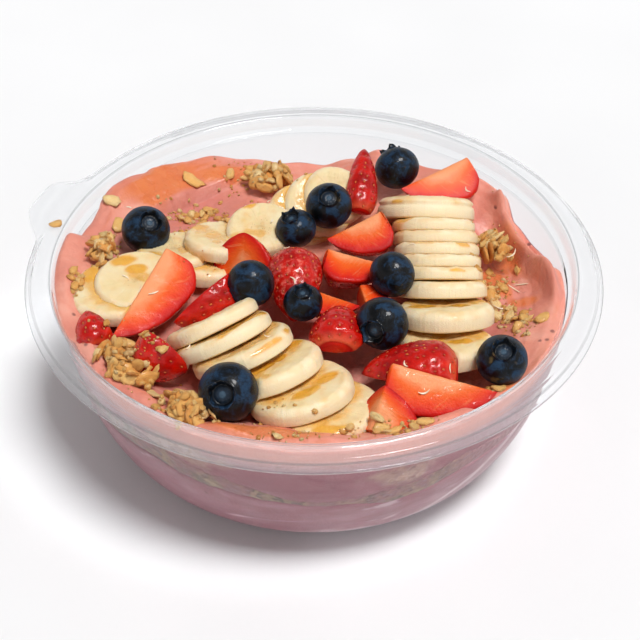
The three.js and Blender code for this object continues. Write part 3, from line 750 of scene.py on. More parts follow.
# The pit: a paler scar in the middle and a near-black ring round it, partly the dark crown and partly
# painted shade in the groove under the lobes.
pit_with_painted_shade = ramp(
    tree, off_axis, (0.08, tint(66, 88, 106)), (0.14, tint(30, 42, 56)), (0.26, tint(20, 30, 42)),
    (0.32, tint(4, 6, 9)),
)
colour = blend_colours(tree, times(tree, in_pit, 0.85), colour, pit_with_painted_shade)
feed(
    tree, shader, Base_Color=colour, Roughness=number(tree, "ADD", 0.34, times(tree, bloom, 0.26)),
    Coat_Weight=number(tree, "SUBTRACT", 0.26, times(tree, bloom, 0.2)), Coat_Roughness=0.04,
    Specular_IOR_Level=0.15, Normal=fine_grain(tree, local, 30, 3, 0.5, 0.00012),
)
for seed, (name, at, diameter, crown) in enumerate(BLUEBERRIES):
    blueberry(name, at, diameter, crown, seed)

# ---------------------------------------------------------------- the strawberries
# Hulled strawberries cut lengthwise into wedges and halves. The skin is glossy red with seeds in
# dimples; the knife's faces are wet, orange-red under the skin and pale with white fibres inside.
STRAWBERRIES = [
    ("left_wedge", (-45.5, 0, 68), (-60.5, -30, 57.5), 14.5, 90, (0.9, -0.3, -0.4), True),
    ("front_wedge", (22.5, -52, 66), (53, -58, 60), 13.5, 95, (-0.1, -0.8, -0.6), True),
    ("front_tip", (16, -69.5, 55.5), (20.5, -59, 63.5), 14, 110, (1, 0, -0.1), True),
    ("front_half", (42, -46.2, 54.6), (14, -45.2, 55.6), 11.2, 150, (0, 0.2, 1), False),
    ("left_second", (-24, -6, 60), (-42.5, -24, 57.5), 10, 120, (0.55, -0.7, 0.1), False),
    ("left_low", (-51.5, -35, 58.5), (-37, -42.5, 55), 9.5, 150, (0.35, -0.8, -0.1), False),
    ("left_end", (-65, -32.5, 54.5), (-68.7, -22.8, 61.2), 5.7, 180, (0.1, -0.7, 0.7), False),
    ("middle_peak", (-23.5, -4, 57), (-21.5, 4.5, 70), 11, 170, (0.45, 0.85, 0), False),
    ("back_tall", (14.5, 31, 57), (16.5, 54, 67), 5.6, 160, (0.3, -0.4, 0.8), False),
    ("back_right", (51, 54, 64), (28.5, 41.5, 60), 13, 100, (0.25, -0.8, -0.5), True),
    ("centre_back", (21.5, 21.5, 66), (4, 13, 61), 12.5, 100, (0.5, -0.75, -0.4), True),
    ("centre_right", (4, 2, 66), (24, -1.5, 61.5), 11.5, 100, (-0.3, -0.9, -0.1), True),
    ("centre", (-6, 3, 61), (-6, -22, 56), 9.2, 160, (0, -0.35, 0.95), False),
    ("centre_pink", (0, -13.5, 62), (14, -19, 60), 8, 90, (0.3, -1, -0.2), True),
    ("centre_small", (14, -11, 62), (18, -27, 59), 8, 90, (1, -0.1, -0.2), True),
    ("centre_front", (6.5, -38.5, 57.5), (8.5, -21, 61), 8.7, 160, (-0.1, -0.35, 0.9), False),
]
WIDEST = 0.24
SEED_SPACING = 2.7
SEED_HALF_SIZE = (0.5, 0.3, 0.22)
HULL_RINGS = 7
BERRY_RINGS = 64


def berry_width(share):
    if share < WIDEST:
        return 1 - 0.4 * ((WIDEST - share) / WIDEST) ** 2
    return max(1 - ((share - WIDEST) / (1 - WIDEST)) ** 1.9, 0) ** 0.7


def strawberry_matrix(top, tip, sector, facing, shows_face):
    """+Z runs from the hull to the tip and +X through the middle of the skin."""
    axis = (Vector(tip) - Vector(top)).normalized()
    skin = Vector(facing)
    skin = (skin - skin.dot(axis) * axis).normalized()
    if shows_face:
        up = axis.cross(skin)
        up = up if up.z > 0 else -up
        half = math.radians(sector / 2)
        skin = skin * math.cos(half) - up * math.sin(half)
    across = axis.cross(skin)
    return Matrix.Translation(top) @ Matrix((skin, across, axis)).transposed().to_4x4()


def seed_places(length, radius, half, salt):
    """Where the seeds sit in the skin, as (share of the length, angle)."""
    rows = int(length / SEED_SPACING)
    draw = random.Random(salt)
    places = []
    for row in range(rows):
        share = (row + 0.6) / (rows + 0.2)
        reach = half - 0.8 / (radius * berry_width(share) + 0.1)
        count = max(int(2 * half * radius * berry_width(share) / (SEED_SPACING * 1.15)), 1)
        for i in range(count):
            angle = -half + 2 * half * (i + (0.75 if row % 2 else 0.25) + draw.uniform(-0.28, 0.28)) / count
            if abs(angle) < reach:
                places.append((share + draw.uniform(-0.022, 0.022), angle))
    return places


def strawberry_piece(spec, salt):
    name, top, tip, radius, sector, facing, shows_face = spec
    length = (Vector(tip) - Vector(top)).length
    half = math.radians(sector / 2)
    matrix = strawberry_matrix(top, tip, sector, facing, shows_face)
    middle = 0.62 * math.sin(half) / half
    seeds = seed_places(length, radius, half, salt)
    pits = kdtree.KDTree(len(seeds))
    for i, (share, angle) in enumerate(seeds):
        pits.insert(polar(radius * berry_width(share), angle, share * length), i)
    pits.balance()

    def point(k, angle):
        if k <= HULL_RINGS:
            share, size = 0.0, k / HULL_RINGS
        else:
            share, size = ((k - HULL_RINGS) / BERRY_RINGS) ** 0.9, 1.0
        share = min(share, 1.0)
        skin = max(radius * berry_width(share), 1e-3)
        c = middle * skin
        along = Vector((math.cos(angle), math.sin(angle)))
        reaches = [-c * along.x + math.sqrt(max((c * along.x) ** 2 + skin**2 - c**2, 1e-9))]
        for side in (-1, 1):
            towards = side * along.y * math.cos(half) - along.x * math.sin(half)
            if towards > 1e-6:
                reaches.append(c * math.sin(half) / towards)
        reach = size * sum(r**-13 for r in reaches) ** (-1 / 13)
        spot = Vector((c + reach * along.x, reach * along.y, share * length))
        if k <= HULL_RINGS:
            spot.z += 0.5 * ease(size, 0.75, 1.0) - 0.25 * (1 - size)
        return spot

    shape = turned(HULL_RINGS + BERRY_RINGS + 1, 112, point)
    own = shape.verts.layers.float_vector.new("own")
    tone = shape.verts.layers.float_color.new("tone")
    for vert in shape.verts:
        share = min(max(vert.co.z / length, 0), 1)
        skin = max(radius * berry_width(share), 0.4)
        out = math.hypot(vert.co.x, vert.co.y) / skin
        theta = math.atan2(vert.co.y, vert.co.x)
        on_skin = ease(out, 0.95, 0.985) * ease(share, 0.0, 0.02)
        _, _, away = pits.find(vert.co)
        dimple = on_skin * bell(away, 1.0)
        vert[own] = ((skin - math.hypot(vert.co.x, vert.co.y)) / 10, share, theta)
        vert[tone] = (on_skin, dimple, 1 if name == "centre" else 0, 1)
        wobble = noise.fractal(Vector(vert.co) / 4 + Vector((salt, 0, 0)), 0.8, 2.0, 3)
        radial = Vector((vert.co.x, vert.co.y, 0)).normalized()
        vert.co += radial * (on_skin * (0.14 * wobble - 0.34 * dimple))
        if on_skin < 0.5:
            ribs = noise.noise(Vector((out * 1.5, share * 16, salt)))
            vert.co += Vector((1, 0, 0)) * (0.07 * ribs + 0.1 * wobble) * ease(1 - out, 0.02, 0.15)
    bmesh.ops.transform(shape, matrix=matrix, verts=shape.verts)
    press(shape, toppings_above)
    lay_over(shape, toppings_above)
    for share, angle in seeds:
        skin = radius * berry_width(share)
        slope = (berry_width(share + 0.02) - berry_width(max(share - 0.02, 0))) * radius / (0.04 * length)
        outward = polar(1, angle, -slope).normalized()
        base = facing_matrix(outward, polar(skin - 0.2, angle, share * length))
        long_way = base.to_3x3().inverted() @ Vector((0, 0, 1))
        spin = Matrix.Rotation(math.atan2(long_way.y, long_way.x), 4, "Z")
        place = matrix @ base @ spin @ Matrix.Diagonal(SEED_HALF_SIZE + (1,))
        ball = bmesh.ops.create_icosphere(shape, subdivisions=1, radius=1, matrix=place)
        for vert in ball["verts"]:
            for face in vert.link_faces:
                face.material_index = 1
    materials = [strawberry_skin, strawberry_seed]
    return finished("strawberry_cut_" + name, shape, materials, "strawberry", "strawberry_" + name)


strawberry_skin, tree, shader = new_material("strawberry_flesh_and_skin")
where = object_place(tree)
on_skin, dimple, thawed = tone_channels(tree)
local = add(tree, "Attribute", attribute_name="own").outputs["Vector"]
depth, share, theta = add(tree, "SeparateXYZ", {"Vector": local}).outputs
patches = clouds(tree, where, 150, 3, 0.55)
swayed = number(tree, "ADD", depth, spread(tree, patches, 0.3, 0.7, -0.08, 0.08))
inside = ramp(
    tree, swayed, (0.02, tint(180, 6, 2)), (0.2, tint(208, 26, 2)), (0.42, tint(224, 62, 4)),
    (0.7, tint(230, 94, 22)), (1.0, tint(236, 150, 100)),
)
from_hull = number(tree, "SUBTRACT", share, times(tree, depth, 0.25))
fibre_place = add(
    tree, "CombineXYZ",
    {"X": times(tree, depth, 1.5), "Y": times(tree, from_hull, 15.0), "Z": theta},
).outputs["Vector"]
fibres = spread(tree, clouds(tree, fibre_place, 1.0, 3, 0.6), 0.54, 0.68)
fibres = times(tree, fibres, spread(tree, depth, 0.14, 0.4))
inside = blend_colours(tree, times(tree, fibres, 0.28), inside, tint(240, 158, 104))
outside = ramp(tree, patches, (0.3, tint(150, 6, 3)), (0.5, tint(190, 14, 4)), (0.72, tint(216, 32, 8)))
# Painted shade: the skin is darker red in the dimples that the seeds sit in.
outside = blend_colours(tree, times(tree, dimple, 0.4), outside, tint(120, 6, 8))
pale_hull = spread(tree, share, 0.16, 0.0, 0.0, 0.55)
outside = blend_colours(tree, pale_hull, outside, tint(232, 110, 70))
colour = blend_colours(tree, on_skin, inside, outside)
frost = spread(tree, clouds(tree, where, 620, 4, 0.65), 0.5, 0.66, 0.0, 0.6)
colour = blend_colours(tree, times(tree, frost, thawed), colour, tint(232, 120, 104))
pores = fine_grain(tree, where, 1400, 3, 0.6, 0.0002)
dull = spread(tree, patches, 0.3, 0.7, 0.5, 0.4)
shine = spread(tree, patches, 0.35, 0.65, 0.25, 0.6)
feed(
    tree, shader, Base_Color=colour, Roughness=number(tree, "SUBTRACT", dull, times(tree, on_skin, 0.16)),
    Coat_Weight=times(tree, shine, spread(tree, on_skin, 0, 1, 0.1, 1.0)),
    Coat_Roughness=0.04, Specular_IOR_Level=0.2,
    Subsurface_Weight=0.12, Subsurface_Radius=(0.003, 0.0008, 0.0004), Subsurface_Scale=1.0,
    Normal=relief(tree, fibres, 0.00008, pores),
)
strawberry_seed, tree, shader = new_material("strawberry_seed")
where = object_place(tree)
feed(
    tree, shader,
    Base_Color=ramp(tree, clouds(tree, where, 420, 2), (0.4, tint(170, 48, 20)), (0.6, tint(216, 118, 52))),
    Roughness=uneven_gloss(tree, where, 900, 2, 0.5, 0.3, 0.7, 0.3, 0.5),
    Normal=fine_grain(tree, where, 2500, 2, 0.5, 0.0001),
)
for salt, spec in enumerate(STRAWBERRIES):
    strawberry_piece(spec, salt)

# ---------------------------------------------------------------- the banana slices
# Ripe banana, peeled and cut across into coins that lie on each other like fallen dominoes.
# Moist cream flesh with a three-lobed core, faint seeds and rays, and runs of honey over it.
SLICES = [
    ("left_upper", (-54.5, -6, 58.5), 27, 4, 240, 3),
    ("left_lower", (-61, -8.5, 56.6), 30, 4.5, 120, 3),
    ("left_behind", (-44, 11.5, 56.5), 25, 4, 100, 12),
    ("middle_upper", (-16.8, 18.2, 60.5), 22.5, 4.5, -100, 10),
    ("middle_second", (-28, 15, 58.5), 27, 4.5, 80, 16),
    ("middle_third", (-33, 10, 54.5), 28, 4.5, 80, 10),
    ("back_upper", (6.7, 38.5, 59), 21, 5, -85, 30),
    ("back_second", (1.5, 36.5, 56.5), 23, 4, -75, 32),
    ("back_third", (-4, 34, 54), 23, 4, -65, 32),
    ("front_1", (-31, -25.5, 58.5), 29, 4.2, 130, 42),
    ("front_2", (-27.3, -31.5, 58.3), 30, 4.4, 132, 38),
    ("front_3", (-21.5, -36.8, 57.8), 30.5, 4.8, 135, 31),
    ("front_4", (-13.3, -43.5, 56.6), 31, 5, 135, 23),
    ("front_5", (-4, -52, 54.8), 31, 5, 135, 16),
    ("front_6", (4, -57, 51.6), 30.5, 5, 135, 9),
    ("right_1", (36.3, 36.4, 55.3), 31, 7, 88, 40),
]
for i in range(5):
    SLICES.append((f"right_{2 + i}", (38.2 + 0.2 * i, 25.5 - 6.3 * i, 56.4 + 0.05 * i), 26.5, 3.7, 90, 41))
SLICES += [
    ("right_7", (39.5, -6, 56.2), 27.5, 4.8, 90, 36),
    ("right_8", (40, -18, 56.2), 29, 6, 92, 27),
    ("right_9", (40, -31, 53.8), 28, 6, 95, 18),
]
HONEY_DROPS = [
    (45, 23, 3.6, 2.4, 0), (38.6, 7.3, 4, 2.2, 0), (46.4, 7.3, 3, 2.2, 0), (45.5, -9, 4, 2.2, 0),
    (33.5, -20, 5, 2.4, 5), (44, -19.4, 4, 2.2, 0), (44, -33, 4.5, 2.6, 0), (30, -34.3, 2.5, 2, 0),
    (25.5, 27.5, 2.4, 2.4, 0), (30, 21, 3.4, 2.2, 0), (-69.5, -1.5, 2.6, 4.5, 0), (-59.5, 2, 4.2, 2.6, 10),
    (-55, -2, 4, 2.4, 0), (-37, 21, 4, 2.3, 0), (-21.4, 27, 3, 2, 0), (-10, 42, 2.5, 2.2, 0),
    (-24, -38, 5.5, 1.8, 45), (-14.2, -47.6, 5, 2.2, 45), (-6.5, -36.4, 3.4, 2, 30),
    (-10, -43.6, 3.4, 2, 45), (-3, -57.6, 5.5, 2.8, 40), (4.2, -50, 4, 2.2, 45), (4, -69, 5.5, 2.2, 0),
    (-17, -31, 4.5, 1.6, 45),
]
EDGE_ROUNDING = 0.8
FACE_RINGS = 24
SCORED_THICKNESS = 6.5


def slice_matrix(at, towards, lean):
    tilt, way = math.radians(lean), math.radians(towards)
    return facing_matrix(polar(math.sin(tilt), way, math.cos(tilt)), at)


def slice_rows(radius, half):
    """The outline of a slice, from the middle below over its edge to the middle on top."""
    rows = [(0, -half), (0.4 * radius, -half), (0.75 * radius, -half)]
    for i in range(6):
        a = math.radians(-90 + 15 * i)
        rows.append((radius + EDGE_ROUNDING * (math.cos(a) - 1), -half + EDGE_ROUNDING * (1 + math.sin(a))))
    rows.append((radius, -0.2 * half))
    for i in range(9):
        a = math.radians(90 * i / 8)
        rows.append((radius + 1.1 * half * (math.cos(a) - 1), 0.1 * half + 0.9 * half * math.sin(a)))
    for i in range(1, FACE_RINGS + 1):
        rows.append(((radius - 1.1 * half) * (1 - i / FACE_RINGS), half))
    return rows


def face_relief(share, angle, seed):
    """The cut face isn't quite flat: the core sinks, its three lobes stand up, the knife drags."""
    lobes = 0.14 * bell(share - 0.22, 0.12) * math.cos(3 * angle) * ease(share, 0, 0.15)
    core = -0.38 * bell(share, 0.34) + lobes
    rim = 0.12 * bell(share - 0.9, 0.06)
    x, y = share * math.cos(angle), share * math.sin(angle)
    lumps = 0.22 * noise.fractal(Vector((4 * x, 4 * y, seed)), 0.7, 2.0, 3)
    drag = 0.06 * noise.noise(Vector((3 * x + 30 * y, 2 * y, seed + 4)))
    return core + rim + lumps + drag


def honey_on_slice(point, share, level, above, seed):
    """Honey stays where the slice above touches this one, and in a few pools and runs of its own."""
    near = 0.0
    for matrix, radius, half in above:
        local = matrix @ point
        gap = max(math.hypot(local.x, local.y) - radius, 0)
        height = max(abs(local.z) - half, 0)
        near = max(near, 1 - math.hypot(gap, 0.7 * height) / 7)
    ragged = noise.fractal(Vector((point.x / 8, point.y / 8, seed)), 0.8, 2.0, 3)
    pool = noise.noise(Vector((point.x / 9, point.y / 9, seed + 7))) - 0.25 * ease(share, 0.35, 0.7)
    pool = ease(pool + 0.2 * ragged, 0.16, 0.3) * ease(level, 0.6, 0.9)
    run = noise.noise(Vector((point.x / 4.5, point.y / 4.5, seed + 3))) + 0.1
    run = 0.3 * ease(run, 0.0, 0.25) * bell(level - 0.75, 0.5) * ease(share, 0.8, 0.95)
    drop = 0.0
    for x, y, long, wide, turn in HONEY_DROPS:
        away = Matrix.Rotation(math.radians(-turn), 2) @ Vector((point.x - x, point.y - y))
        drop = max(drop, 1.2 - math.hypot(away.x / long, away.y / wide))
    drop = ease(drop + 0.3 * ragged, 0.0, 0.5) * ease(level, 0.0, 0.5)
    return max(0.8 * ease(near + 0.4 * ragged, 0.45, 1.0), 0.7 * pool, drop, run)


def banana_slice(spec, above, seed):
    name, at, diameter, thickness, towards, lean = spec
    rows = slice_rows(diameter / 2, thickness / 2 + 0.15)
    twist = math.radians(137 * seed)

    def point(k, angle):
        radius, z = rows[k]
        share = radius / (diameter / 2)
        away = Vector((math.cos(angle), math.sin(angle), seed))
        shape = 1 + 0.022 * math.cos(3 * angle) + 0.02 * math.cos(2 * angle)
        shape += 0.03 * noise.noise(1.3 * away)
        fibres = 0.1 * noise.noise(Vector((9 * away.x, 9 * away.y, seed))) * ease(share, 0.8, 1)
        if thickness > SCORED_THICKNESS:
            radius -= 0.9 * bell(z - 0.9, 0.5) * ease(share, 0.8, 1)
        z += 0.35 * noise.noise(1.7 * away) * ease(share, 0.6, 1) * ease(z, 0, thickness / 2)
        z += face_relief(share, angle + twist, seed) * ease(z, 0.6 * thickness / 2, thickness / 2)
        return polar(radius * shape + fibres, angle, z)

    shape = turned(len(rows), 84, point)
    own = shape.verts.layers.float_vector.new("own")
    tone = shape.verts.layers.float_color.new("tone")
    matrix = slice_matrix(at, towards, lean)
    turning = Matrix.Rotation(twist, 3, "Z")
    for vert in shape.verts:
        local = turning @ vert.co
        vert[own] = Vector((local.x, local.y, local.z)) / (diameter / 2)
        vert.co = matrix @ vert.co
        wet = honey_on_slice(vert.co, vert[own].xy.length, local.z / (thickness / 2), above, seed)
        vert[tone] = (wet, 0, 0, 1)
    above.append((matrix.inverted(), diameter / 2, thickness / 2))
    press(shape, toppings_above)
    lay_over(shape, toppings_above)
    return finished("banana_coin_" + name, shape, [banana_flesh], "banana", "banana_" + name)


banana_flesh, tree, shader = new_material("banana_flesh")
local = add(tree, "Attribute", attribute_name="own").outputs["Vector"]
honey, _, _ = tone_channels(tree)
x, y, z = add(tree, "SeparateXYZ", {"Vector": local}).outputs
flat = add(tree, "CombineXYZ", {"X": x, "Y": y}).outputs["Vector"]
out = add(tree, "VectorMath", {0: flat}, operation="LENGTH").outputs["Value"]
angle = number(tree, "ARCTAN2", y, x)
lobed = number(tree, "COSINE", times(tree, angle, 3.0))
core_edge = number(tree, "SUBTRACT", out, times(tree, lobed, 0.07))
direction = add(tree, "VectorMath", {0: flat}, operation="NORMALIZE").outputs["Vector"]
ray_place = add(tree, "VectorMath", {0: direction, 1: (7, 7, 7)}, operation="MULTIPLY").outputs["Vector"]
rays = clouds(tree, ray_place, 1.6, 3, 0.6)
soft = clouds(tree, local, 2.4, 4, 0.55, 0.4)
flesh = ramp(
    tree, soft, (0.3, tint(233, 208, 154)), (0.55, tint(238, 216, 168)), (0.75, tint(243, 227, 188))
)
flesh = blend_colours(tree, spread(tree, rays, 0.45, 0.65, 0.0, 0.3), flesh, tint(238, 212, 168))
flesh = blend_colours(tree, spread(tree, core_edge, 0.42, 0.3, 0.0, 0.5), flesh, tint(240, 208, 150))
flesh = blend_colours(tree, spread(tree, core_edge, 0.16, 0.06, 0.0, 0.5), flesh, tint(230, 190, 124))
# Painted light: the outer ring of the face and the side are painted paler, so that the shaded side reads as
# bright as the face.
flesh = blend_colours(tree, spread(tree, out, 0.82, 0.94, 0.0, 0.75), flesh, tint(242, 226, 192))
dots = add(tree, "TexVoronoi", {"Vector": local, "Scale": 15.0}).outputs["Distance"]
in_core = times(tree, spread(tree, core_edge, 0.34, 0.27), spread(tree, out, 0.07, 0.12))
dots = times(tree, spread(tree, dots, 0.24, 0.12, 0.0, 0.75), in_core)
flesh = blend_colours(tree, dots, flesh, tint(140, 98, 52))
amber = blend_colours(tree, clouds(tree, local, 5, 3), tint(226, 148, 20), tint(240, 184, 60))
flesh = blend_colours(tree, times(tree, honey, 0.95), flesh, amber)
fine = fine_grain(tree, local, 40, 4, 0.6, 0.0002)
dull = spread(tree, soft, 0.3, 0.7, 0.52, 0.4)
feed(
    tree, shader, Base_Color=flesh, Roughness=number(tree, "SUBTRACT", dull, times(tree, honey, 0.28)),
    Coat_Weight=times(tree, honey, 0.8), Coat_Roughness=0.08,
    Subsurface_Weight=0.25, Subsurface_Radius=(0.003, 0.002, 0.001), Subsurface_Scale=1.0,
    Normal=relief(tree, rays, 0.00025, fine),
)
slices_above = []
for seed, spec in enumerate(SLICES):
    banana_slice(spec, slices_above, seed)

# ---------------------------------------------------------------- the granola clumps and loose oats
# Rolled oats and puffed grains baked with honey until they stick together in lumps. The flakes
# are thin, oval and creased along the middle, golden with browner edges and a sticky shine.
CLUMPS = [
    ("front_left", (-55, -44.5, 57.5), (21, 12, 8), -50, 34),
    ("front", (-36.5, -61.5, 56.5), (15, 11, 8), -30, 24),
    ("right", (57, 19, 53), (14, 11, 8), -40, 20),
    ("back", (-15.5, 58, 52), (14, 12, 7), 20, 22),
    ("left", (-66.5, 9.5, 58.5), (11, 8, 7), 80, 16),
]


def flake(shape, matrix, size, colour_tone, seed, faces=2):
    """A rolled oat: a thin oval lens, bent a little, with a crease along it and a ragged edge."""
    ball = bmesh.ops.create_icosphere(shape, subdivisions=faces, radius=1)
    length, width, thick = size
    own = shape.verts.layers.float_vector["own"]
    tone = shape.verts.layers.float_color["tone"]
    for vert in ball["verts"]:
        x, y, z = vert.co
        edge = 1 + 0.34 * noise.noise(Vector((1.7 * x, 1.7 * y, seed)))
        crease = 0.7 * bell(y, 0.2) * (1 if z > 0 else -0.4) * bell(x, 0.9)
        bend = 0.5 * x * x - 0.4 * y * y + 0.7 * noise.noise(Vector((1.4 * x, 1.4 * y, seed + 5)))
        vert[own] = (x + seed, y, z)
        vert[tone] = (colour_tone, ease(math.hypot(x, y), 0.5, 1), 0, 1)
        up = (z - crease + bend) * thick / 2
        vert.co = matrix @ Vector((x * edge * length / 2, y * edge * width / 2, up))


def lumpy(shape, matrix, size, colour_tone, seed, faces=2):
    """A puffed grain or a crumb: a dented little ball."""
    ball = bmesh.ops.create_icosphere(shape, subdivisions=faces, radius=1)
    own = shape.verts.layers.float_vector["own"]
    tone = shape.verts.layers.float_color["tone"]
    for vert in ball["verts"]:
        dent = 1 + 0.3 * noise.noise(1.7 * vert.co + Vector((seed, 0, 0)))
        vert[own] = vert.co + Vector((seed, 0, 0))
        vert[tone] = (colour_tone, 0.3, 0, 1)
        vert.co = matrix @ Vector([c * dent * s / 2 for c, s in zip(vert.co, size)])


def grain_shape():
    shape = bmesh.new()
    shape.verts.layers.float_vector.new("own")
    shape.verts.layers.float_color.new("tone")
    return shape


def granola_clump(name, at, size, turn, flakes, salt):
    draw = random.Random(salt)
    shape = grain_shape()
    length, width, height = size
    base = Matrix.Translation(at) @ Matrix.Rotation(math.radians(turn), 4, "Z")
    lumpy(shape, base, (0.56 * length, 0.56 * width, 0.5 * height), 0.1, salt, 3)
    for i in range(flakes):
        way = math.radians(137.5 * i)
        rise = mix(-0.15, 0.98, (i + 0.5) / flakes)
        out = math.sqrt(1 - rise * rise)
        x, y = 0.42 * length * out * math.cos(way), 0.42 * width * out * math.sin(way)
        spot = Vector((x, y, 0.42 * height * rise))
        spot.xy *= draw.uniform(0.7, 1.3)
        spot.z *= draw.uniform(0.75, 1.05)
        outward = Vector((spot.x / length**2, spot.y / width**2, spot.z / height**2 + 0.002)).normalized()
        outward += Vector([draw.uniform(-1.0, 1.0) for _ in range(3)])
        matrix = base @ facing_matrix(outward, spot) @ Matrix.Rotation(draw.uniform(0, math.tau), 4, "Z")
        if draw.random() < 0.62:
            oat = (draw.uniform(5.0, 8.4), draw.uniform(3.6, 5.4), draw.uniform(1.2, 1.8))
            flake(shape, matrix, oat, draw.random(), 10 * salt + i)
        else:
            grain = draw.uniform(1.6, 3.6)
            lumpy(shape, matrix, (grain * 1.3, grain, grain * 0.9), draw.random(), 10 * salt + i)
    lay_over(shape, toppings_above)
    return finished("granola_clump_" + name, shape, [granola_crust], "granola", "granola_" + name)


granola_crust, tree, shader = new_material("baked_oats")
local = add(tree, "Attribute", attribute_name="own").outputs["Vector"]
where = object_place(tree)
shade, edge, _ = tone_channels(tree)
browned = times(tree, clouds(tree, local, 1.8, 4, 0.6), 0.45)
toast = number(tree, "ADD", times(tree, shade, 0.6), browned)
colour = ramp(
    tree, toast, (0.1, tint(208, 120, 46)), (0.35, tint(242, 176, 90)), (0.6, tint(250, 200, 120)),
    (0.85, tint(253, 226, 166)),
)
colour = blend_colours(tree, times(tree, edge, 0.2), colour, tint(212, 130, 54))
streak_place = add(tree, "Mapping", {"Vector": local, "Scale": (1, 7, 2)}).outputs["Vector"]
streaks = clouds(tree, streak_place, 1.6, 3, 0.6)
colour = blend_colours(tree, spread(tree, streaks, 0.54, 0.7, 0.0, 0.35), colour, tint(208, 130, 58))
sticky = spread(tree, clouds(tree, where, 260, 3), 0.45, 0.62)
feed(
    tree, shader, Base_Color=colour, Roughness=number(tree, "SUBTRACT", 0.66, times(tree, sticky, 0.34)),
    Coat_Weight=times(tree, sticky, 0.4), Coat_Roughness=0.15,
    Normal=relief(tree, streaks, 0.0003, fine_grain(tree, local, 9, 4, 0.65, 0.0003)),
)
for salt, (name, at, size, turn, flakes) in enumerate(CLUMPS):
    granola_clump(name, at, size, turn, flakes, salt)

rim_oat = grain_shape()
rim_place = Matrix.Translation((-82.3, 18.4, 63)) @ Matrix.Rotation(math.radians(35), 4, "Z")
flake(rim_oat, rim_place, (4.6, 3.4, 1.3), 0.5, 3)
finished("granola_flake_on_the_rim", rim_oat, [granola_crust], "granola", "granola_rim_flake")

# ---------------------------------------------------------------- the loose oats and the crumbs
# What came off the clumps: whole oats, puffed grains and crumbs. They lie on the blend and the
# fruit where they fell, each dropped straight down onto what is under it.
LOOSE_OATS = [
    (-66, 37, 7, -20), (-63.5, 28, 6, 80), (-41, 55.5, 8.5, -15), (-22, 64, 4.5, 10), (61.5, 25, 6.5, 15),
    (70, -18.5, 6, 40), (57, -4, 5, 110), (61, -10, 4.5, 60), (-73, -6, 4.5, 30), (-47, -54, 6, -60),
    (-41, 27, 4.5, 0), (-35, 32, 4.5, 45), (22.5, -69.5, 6.5, 20), (32, -66.5, 6.5, 5), (60, 3, 4.5, 90),
    (-10, 48, 5.5, 75), (-21.5, 67, 5, 30), (-16, 66, 4.5, 80), (-27, 26, 4.5, 20),
]
CRUMB_FIELDS = [
    (-58, -40, 6, 10, 130, 9), (-38, -62, 9, 5, 120, 9), (-67, 12, 4, 8, 80, 7), (-73.5, -7, 1.5, 4, 60, 5),
    (-47, 26, 5, 4, 70, 5), (-38, 31, 6, 4, 110, 8), (-30, 34, 5, 4, 80, 5), (-43, 42, 5, 3, 70, 6),
    (-36, 46, 5, 3, 50, 4), (-16, 61, 10, 7, 130, 12), (-8, 50, 4, 5, 50, 3), (58, 17, 5, 12, 110, 8),
    (56, 0, 4, 5, 110, 8), (60, -10, 4, 4, 90, 5), (65, -19, 3, 4, 50, 3), (26, -70, 13, 2.5, 90, 7),
    (54, -51, 4, 3, 110, 4), (-47, -40, 4, 3, 40, 2), (-5, -74, 14, 1.6, 40, 1), (-32, -6, 6, 8, 20, 0),
    (-20, -62, 14, 2, 30, 1),
]
ABOVE_ALL = 95
CRUMBS_LIE_WITHIN = 76.5
STEEPEST = 0.2


def landing(x, y):
    """The spot straight under here on the highest piece, the way it faces, and which piece it is."""
    best = None
    for piece, (low, high, skin) in enumerate(toppings_above + blend_below):
        if low[0] <= x <= high[0] and low[1] <= y <= high[1]:
            spot, normal, _, _ = skin.ray_cast(Vector((x, y, ABOVE_ALL)), Vector((0, 0, -1)))
            if spot is not None and (best is None or spot.z > best[0].z):
                best = spot, normal if normal.z > 0 else -normal, piece
    return best


def laid(x, y, lift, draw, loose=0.0, turn=None):
    """Where a small piece comes to lie, or None past the wall and on a berry, which it rolls off."""
    if math.hypot(x, y) > CRUMBS_LIE_WITHIN:
        return None
    found = landing(x, y)
    if found is None or found[1].z < STEEPEST or found[2] < len(BLUEBERRIES):
        return None
    spot, normal, _ = found
    tipped = normal + Vector([loose * draw.uniform(-1, 1) for _ in range(3)])
    turn = draw.uniform(0, 360) if turn is None else turn
    return facing_matrix(tipped, spot + lift * normal) @ Matrix.Rotation(math.radians(turn), 4, "Z")


draw = random.Random(5)
loose_oats = grain_shape()
for seed, (x, y, length, turn) in enumerate(LOOSE_OATS):
    place = laid(x, y, 0.45, draw, 0.25, turn)
    if place is not None:
        flake(loose_oats, place, (length, 0.68 * length, 1.7), draw.uniform(0.35, 0.95), seed)
crumbs = grain_shape()
for x, y, across_x, across_y, crumb_count, oat_count in CRUMB_FIELDS:
    for i in range(oat_count):
        place = laid(draw.gauss(x, 0.6 * across_x), draw.gauss(y, 0.6 * across_y), 0.5, draw, 0.5)
        if place is not None and i % 3 < 2:
            oat = (draw.uniform(3.2, 5.4), draw.uniform(2.2, 3.4), draw.uniform(1.0, 1.6))
            flake(loose_oats, place, oat, draw.uniform(0.2, 0.95), 50 + i)
        elif place is not None:
            grain = draw.uniform(2.0, 3.4)
            lumpy(loose_oats, place, (1.4 * grain, grain, 0.9 * grain), draw.uniform(0.1, 0.9), 50 + i)
    for i in range(crumb_count):
        place = laid(draw.gauss(x, 0.7 * across_x), draw.gauss(y, 0.7 * across_y), 0.15, draw)
        if place is not None:
            grain = 0.45 + 1.5 * draw.random() ** 3
            lumpy(crumbs, place, (1.3 * grain, grain, 0.8 * grain), draw.random(), i, 1)
finished("granola_loose_oats", loose_oats, [granola_crust], "granola", "acai_upper")
finished("granola_crumbs", crumbs, [granola_crust], "granola")

